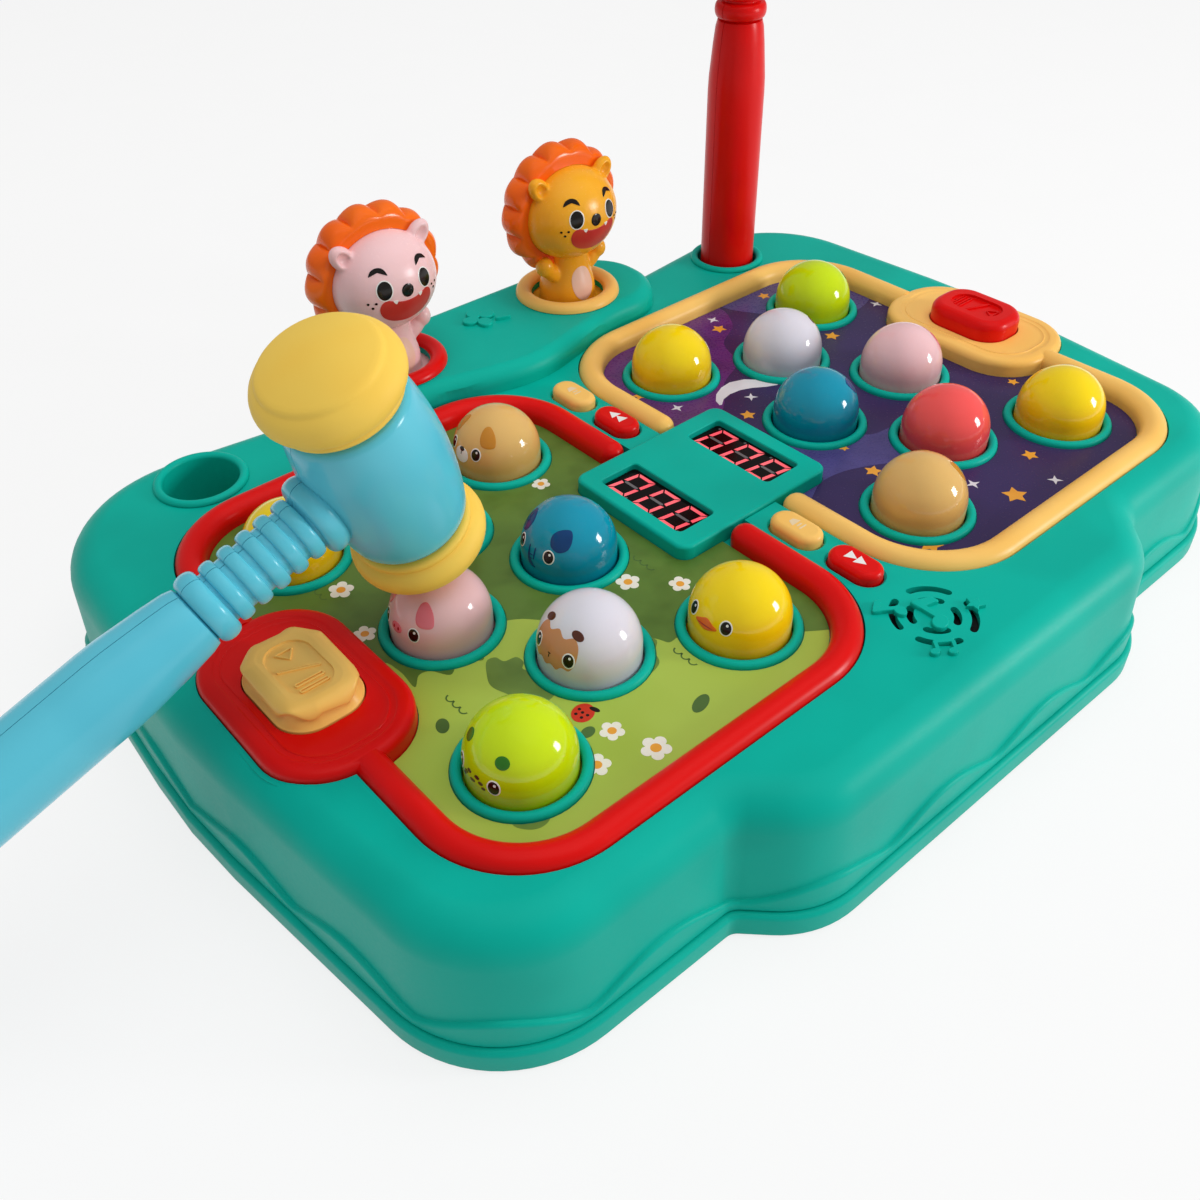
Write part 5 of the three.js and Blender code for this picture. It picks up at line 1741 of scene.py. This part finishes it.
def day_shapes() -> dict:
    """Print of the day field: bushes, daisies, leaves, tufts and a ladybird.

    Returns:
        For each piece its finish, its outlines and its height.
    """
    daisies = [(-134.7, 38.4, 5.2), (-140.7, 13.9, 4.6), (-44.8, 40.9, 4.2), (-59.1, -24.4, 5.0)]
    daisies += [(-46.6, -37.1, 4.6), (-108.9, -72.4, 4.6), (-103.8, -86.1, 5.6), (-121.0, -79.5, 5.0)]
    petals = [flower(x, y, s, 0.5 + x) for x, y, s in daisies]
    hearts = [oval(s * 0.62, s * 0.62, x, y) for x, y, s in daisies]
    far = [(-16, 98), (-150, 98), (-172, 60), (-170, 4), (-146, 0), (-142, -8), (-142.5, -17.5), (-138.5, -14)]
    far += [(-134.6, -15), (-131, -20.5), (-127, -18.4), (-123.2, -19), (-119.2, -22), (-116.5, -18.8), (-112, -19.4)]
    far += [(-108.5, -17.2), (-105, -11.6), (-99, -14), (-94, -19), (-84, -30), (-77, -43), (-71.4, -51.9)]
    far += [(-69.5, -55.8), (-65, -56.2), (-61, -61.6), (-52, -66.4), (-45, -74), (-39.4, -77.2), (-34, -81)]
    near = [(-118.7, -23.2), (-115.6, -23.7), (-114.6, -27), (-110.6, -28), (-110.2, -31.4), (-112.3, -33.6)]
    near += [(-110.6, -36.4), (-107.6, -38.2), (-111.6, -41), (-110.8, -45.6), (-112.3, -49.4), (-119.1, -48.8)]
    near += [(-122.7, -39.4), (-124.4, -33), (-122, -27.5)]
    side = [(-72, -51), (-76, -56), (-78.4, -60.6), (-84.3, -62.4), (-89.2, -61.4), (-92, -50), (-84, -42)]
    low = [(-152.5, -80), (-150.4, -84.6), (-146.6, -86.4), (-142.6, -85), (-139, -80), (-146, -76)]
    leaves = [oval(8.6, 4.4, -81.2, -82.0, 20), oval(6.2, 4.2, -145.5, -36.8, 60), oval(5.2, 3.8, -114.6, -68.0, 10)]
    arc = [math.radians(95 + 17 * i) for i in range(11)]
    tufts = []
    for x, top in ((-136.6, -29.0), (-47.6, -17.0), (-69.8, -60.6), (-140.6, 46.0), (-57, 83), (-116, 76)):
        for y in (top, top - 3.4, top - 6.8):
            outer = [(x + 1.9 * math.cos(a), y + 1.9 * math.sin(a)) for a in arc]
            tufts.append(outer + [(x + 1.45 * math.cos(a), y + 1.35 * math.sin(a)) for a in reversed(arc)])
    x, y = -110.6, -61.0
    dots = ((-1.9, 1.1), (-1.6, -1.2), (0.2, 1.9), (0.4, -1.7), (0, 0.2))
    spots = [oval(1.1, 1.1, x + a, y + b, 0, 12) for a, b in dots] + [oval(1.7, 3.6, x + 3.6, y - 1.3, 20)]
    bushes = [curve(points, 5) for points in (near, side, low)]
    return {
        "far_bush": (ink("bush", "5f8034", "54732c", 0.32), [curve(far + [(-27, -86), (-16, -92)], 5)], 0.03),
        "near_bush": (ink("thicket", "6d8a3e", "607c36", 0.32), bushes, 0.045),
        "leaves": (ink("leaf", "4f6f36", "45632f", 0.32), leaves + tufts, 0.06),
        "petals": (ink("petal", "f4efe2", "ece6d6", 0.32), petals, 0.08),
        "hearts": (ink("heart", "f0a63a", "e89a2e", 0.32), hearts, 0.1),
        "ladybird": (ink("ladybird", "d0341f", "c42c18", 0.3), [oval(8.2, 7.0, x, y, 20)], 0.08),
        "ladybird_spots": (INK, spots, 0.1),
    }


def night_shapes() -> dict:
    """Print of the night field: drifting cloud bands, stars, sparkles and a crescent moon.

    Returns:
        For each piece its finish, its outlines and its height.
    """
    places = [(131.1, 89.4, 3.2), (92.1, 81.0, 3.6), (124.7, 41.8, 3.6), (48.6, 21.5, 3.4), (26.1, 62.4, 3.2)]
    places += [(58.7, -20.7, 2.2), (54.7, -38.4, 3.6), (81.2, -83.7, 5.0), (107.9, -72.4, 3.4), (149.9, -36.2, 2.6)]
    places += [(33.8, -81.2, 4.6)]
    stars = [star(x, y, s, 0.3 * i, 5, 0.52) for i, (x, y, s) in enumerate(places)]
    glints = [(96.2, 88.9), (31.0, 45.0), (59.7, 30.3), (163.5, 48.0), (75.6, -69.1), (100.4, -88.3)]
    sparkles = [star(x, y, 3.0, 0.4 + i, 4, 0.34) for i, (x, y) in enumerate(glints)]
    moon = [(45.4, 34.6), (46.6, 38), (50.5, 41.6), (56, 44), (61.5, 44.6), (68, 42.2), (73, 37), (75.6, 30.4)]
    moon += [(75.2, 29.4), (70.5, 31.6), (65.5, 35), (60.5, 37.2), (55, 37.8), (50, 36.8), (46.4, 34.2)]
    band = [(16, 98), (60, 98), (104, 98), (100, 80), (84, 70), (76, 54), (60, 46), (40, 30), (14, 40)]
    drift = [(20, -12), (34, -8), (45, -5), (56, -11), (66, -15), (75, -22), (86, -24), (97, -30), (88, -42)]
    drift += [(70, -42), (58, -36), (46, -31), (34, -30), (20, -34)]
    deep = [(110, 98), (150, 96), (170, 60), (150, 50), (132, 60), (118, 76)]
    return {
        "plum_band": (ink("plum", "5e2c74", "4c2662", 0.28), [curve(band, 5)], 0.03),
        "drift": (ink("drift", "4c4380", "423a72", 0.28), [curve(drift, 5), curve(deep, 5)], 0.045),
        "stars": (ink("star", "efa63a", "e59a2e", 0.3), stars, 0.08),
        "sparkles": (ink("sparkle", "dedbe2", "d3d0d8", 0.3), sparkles + [moon], 0.08),
    }


# Underside


def build_underside() -> None:
    """Model and dress the battery door, its screw, the rubber feet and the power switch."""
    plan, tray, screw_y = PLAN.door(), Tray(), PLAN.screw_y
    door = loft("door", [plan.ring(0.4, 0), plan.ring(0, 0.4), plan.ring(0, 2)])
    cut(door, [plate("groove", rectangle(30 - 3 * k, 1.2, 0.5, 0, 78 + 2.6 * k), -1, 0.5) for k in range(3)])
    cut(door, [peg(0, screw_y, 3.5, tray.under, 1.3)])
    cut(door, [peg(0, screw_y, tray.screw_hole, tray.under, 6)])
    dress(smoothed(door), TEAL, "battery_cover", "battery_door")
    profile = [(0, 0), (2.6, 0), (3.2, 0.4), (3.2, 1), (1.5, 1), (1.5, 8), (0.6, 10), (0, 10)]
    screw = moved(turned("screw", profile, 32), 0, screw_y)
    for wide, long in ((3.6, 0.7), (0.7, 3.6)):
        cut(screw, [plate("slot", rectangle(wide, long, 0.1, 0, screw_y), -1, 0.7)])
    dress(smoothed(screw), STEEL, "battery_cover", "battery_door_screw")
    for (x, y), name in zip(tray.feet, ("front_left", "front_right", "rear_left", "rear_right")):
        profile = [(0, 0.3), (5.6, 0.3), (6, 0), (8.5, 0), (9, 0.4), (9, 1.2), (3, 1.2), (3, 2.4), (0, 2.4)]
        dress(smoothed(moved(turned(f"{name}_pad", profile), x, y)), RUBBER, "body", f"{name}_foot")
    x, y = PLAN.switch_x, 96
    knob = plate("knob", rectangle(5, 9, 1, x, y), 1.2, 6.2)
    cut(knob, [plate("groove", rectangle(8, 0.7, 0.2, x, y + 1.6 * k), 0, 1.7) for k in (-2, -1, 0, 1, 2)])
    cut(knob, [plate("flange", rectangle(12, 16, 1, x, y), 6.2, 8.4)], Cut.ADD)
    dress(smoothed(knob), BLACK, "switch", "power_switch")


def dress_hidden() -> None:
    """Give the boards and the speaker inside, which keep their solids, their finishes."""
    finishes = {"main_board": BOARD, "day_switch_board": BOARD, "night_switch_board": BOARD, "speaker": BLACK}
    for name, finish in finishes.items():
        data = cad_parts[name].data
        data.materials.clear()
        data.materials.append(finish.material())


# Stage


@dataclass
class Stage:
    """A pale floor, soft plain light and the camera at the photograph's view."""

    world_light: float = 0.34
    paper_glow: float = 0.8
    camera_at: Point = (-265.9, -253.7, 309.8)
    camera_back: Point = (-0.4880, -0.5767, 0.6552)
    azimuth: float = -40.237
    roll: float = -1.262
    focal_pixels: float = 1176.9
    photo_pixels: float = 1200
    sensor: float = 36

    def build(self) -> None:
        """Set floor, light and camera."""
        bpy.context.scene.view_settings.view_transform = "Standard"
        bpy.ops.mesh.primitive_plane_add(size=8)
        floor = bpy.context.object
        floor.name = "floor"
        floor.data.transform(Matrix.Translation((0, 0, -0.0002)))
        floor.data.materials.append(self.paper())
        self.light()
        self.look()

    def paper(self) -> bpy.types.Material:
        """White floor that the camera and reflections see nearly white, still with the object's shadow.

        Returns:
            The material.
        """
        sheet = Finish("floor_paper", "f4f4f4", "f2f2f2", roughness=0.9, relief=0.0).material()
        nodes, link = sheet.node_tree.nodes, sheet.node_tree.links.new
        output = next(node for node in nodes if node.type == "OUTPUT_MATERIAL")
        lit = output.inputs["Surface"].links[0].from_socket
        path, glow, mix = (nodes.new(f"ShaderNode{kind}") for kind in ("LightPath", "Emission", "MixShader"))
        either, share = (nodes.new("ShaderNodeMath") for _ in range(2))
        either.operation, share.operation = "MAXIMUM", "MULTIPLY"
        share.inputs[1].default_value = self.paper_glow
        link(path.outputs["Is Camera Ray"], either.inputs[0])
        link(path.outputs["Is Glossy Ray"], either.inputs[1])
        link(either.outputs[0], share.inputs[0])
        link(share.outputs[0], mix.inputs["Fac"])
        link(lit, mix.inputs[1])
        link(glow.outputs[0], mix.inputs[2])
        link(mix.outputs[0], output.inputs["Surface"])
        return sheet

    def light(self) -> None:
        """A world that is white to the camera, a broad lamp above and a small window at the side."""
        scene = bpy.context.scene
        world = scene.world or bpy.data.worlds.new("world")
        scene.world = world
        world.use_nodes = True
        nodes, link = world.node_tree.nodes, world.node_tree.links.new
        nodes["Background"].inputs["Color"].default_value = (1, 1, 1, 1)
        path, seen = nodes.new("ShaderNodeLightPath"), nodes.new("ShaderNodeMapRange")
        seen.inputs["To Min"].default_value = self.world_light
        link(path.outputs["Is Camera Ray"], seen.inputs["Value"])
        link(seen.outputs["Result"], nodes["Background"].inputs["Strength"])
        lamps = (("top", (0.2, -0.2, 1.7), 1.8, 1.8, 17.0), ("window", (0.75, -0.84, 0.345), 0.22, 0.3, 5.5))
        for name, place, wide, tall, power in lamps:
            bpy.ops.object.light_add(type="AREA", location=place)
            lamp = bpy.context.object
            lamp.name = name
            lamp.data.shape = "RECTANGLE"
            lamp.data.size, lamp.data.size_y, lamp.data.energy = wide, tall, power
            lamp.visible_glossy = name == "window"
            lamp.rotation_euler = (Vector((0, 0, 0.03)) - Vector(place)).to_track_quat("-Z", "Y").to_euler()

    def look(self) -> None:
        """The camera, as fitted to the photograph."""
        back = Vector(self.camera_back).normalized()
        azimuth, roll = math.radians(self.azimuth), math.radians(self.roll)
        right = Vector((math.cos(azimuth), math.sin(azimuth), 0))
        up = back.cross(right)
        across = right * math.cos(roll) + up * math.sin(roll)
        upright_way = up * math.cos(roll) - right * math.sin(roll)
        turn = Matrix((across, upright_way, back)).transposed().to_4x4()
        bpy.ops.object.camera_add()
        camera = bpy.context.object
        camera.matrix_world = Matrix.Translation(Vector(self.camera_at) * MM) @ turn
        camera.data.lens = self.sensor * self.focal_pixels / self.photo_pixels
        camera.data.sensor_width = self.sensor
        camera.data.clip_start = 0.01
        bpy.context.scene.camera = camera


def main() -> None:
    """Build every sub-assembly and the stage, and report each piece."""
    logging.basicConfig(level=logging.INFO, format="%(message)s")
    Cover().build()
    Tray().build()
    build_underside()
    dress_hidden()
    Sheet(-1, "day", MEADOW).build()
    Sheet(1, "night", NIGHT).build()
    FieldFrame(-1, "red_frame", RED).build()
    FieldFrame(1, "cream_frame", CREAM).build()
    StartButton(-1, "day", CREAM, True).build()
    StartButton(1, "night", RED, False).build()
    names = ("front_outer", "front_inner", "rear_inner", "rear_outer")
    looks = ((RED, "forward"), (CREAM, "sound"), (RED, "level"), (CREAM, "sound"))
    for y, name, (finish, icon) in zip(PLAN.pills, names, looks):
        PillButton(name, y, finish, icon).build()
    Scoreboard().build()
    for number, dome in enumerate(animal_domes()):
        dome.build(number)
    Lion(-1, "pink_lion", BLUSH, RED).build()
    Lion(1, "amber_lion", AMBER, CREAM).build()
    build_cups()
    Hammer("blue", SKY, resting_place()).build()
    Hammer("red", RED, socket_place()).build()
    Stage().build()


if __name__ == "__main__":
    main()
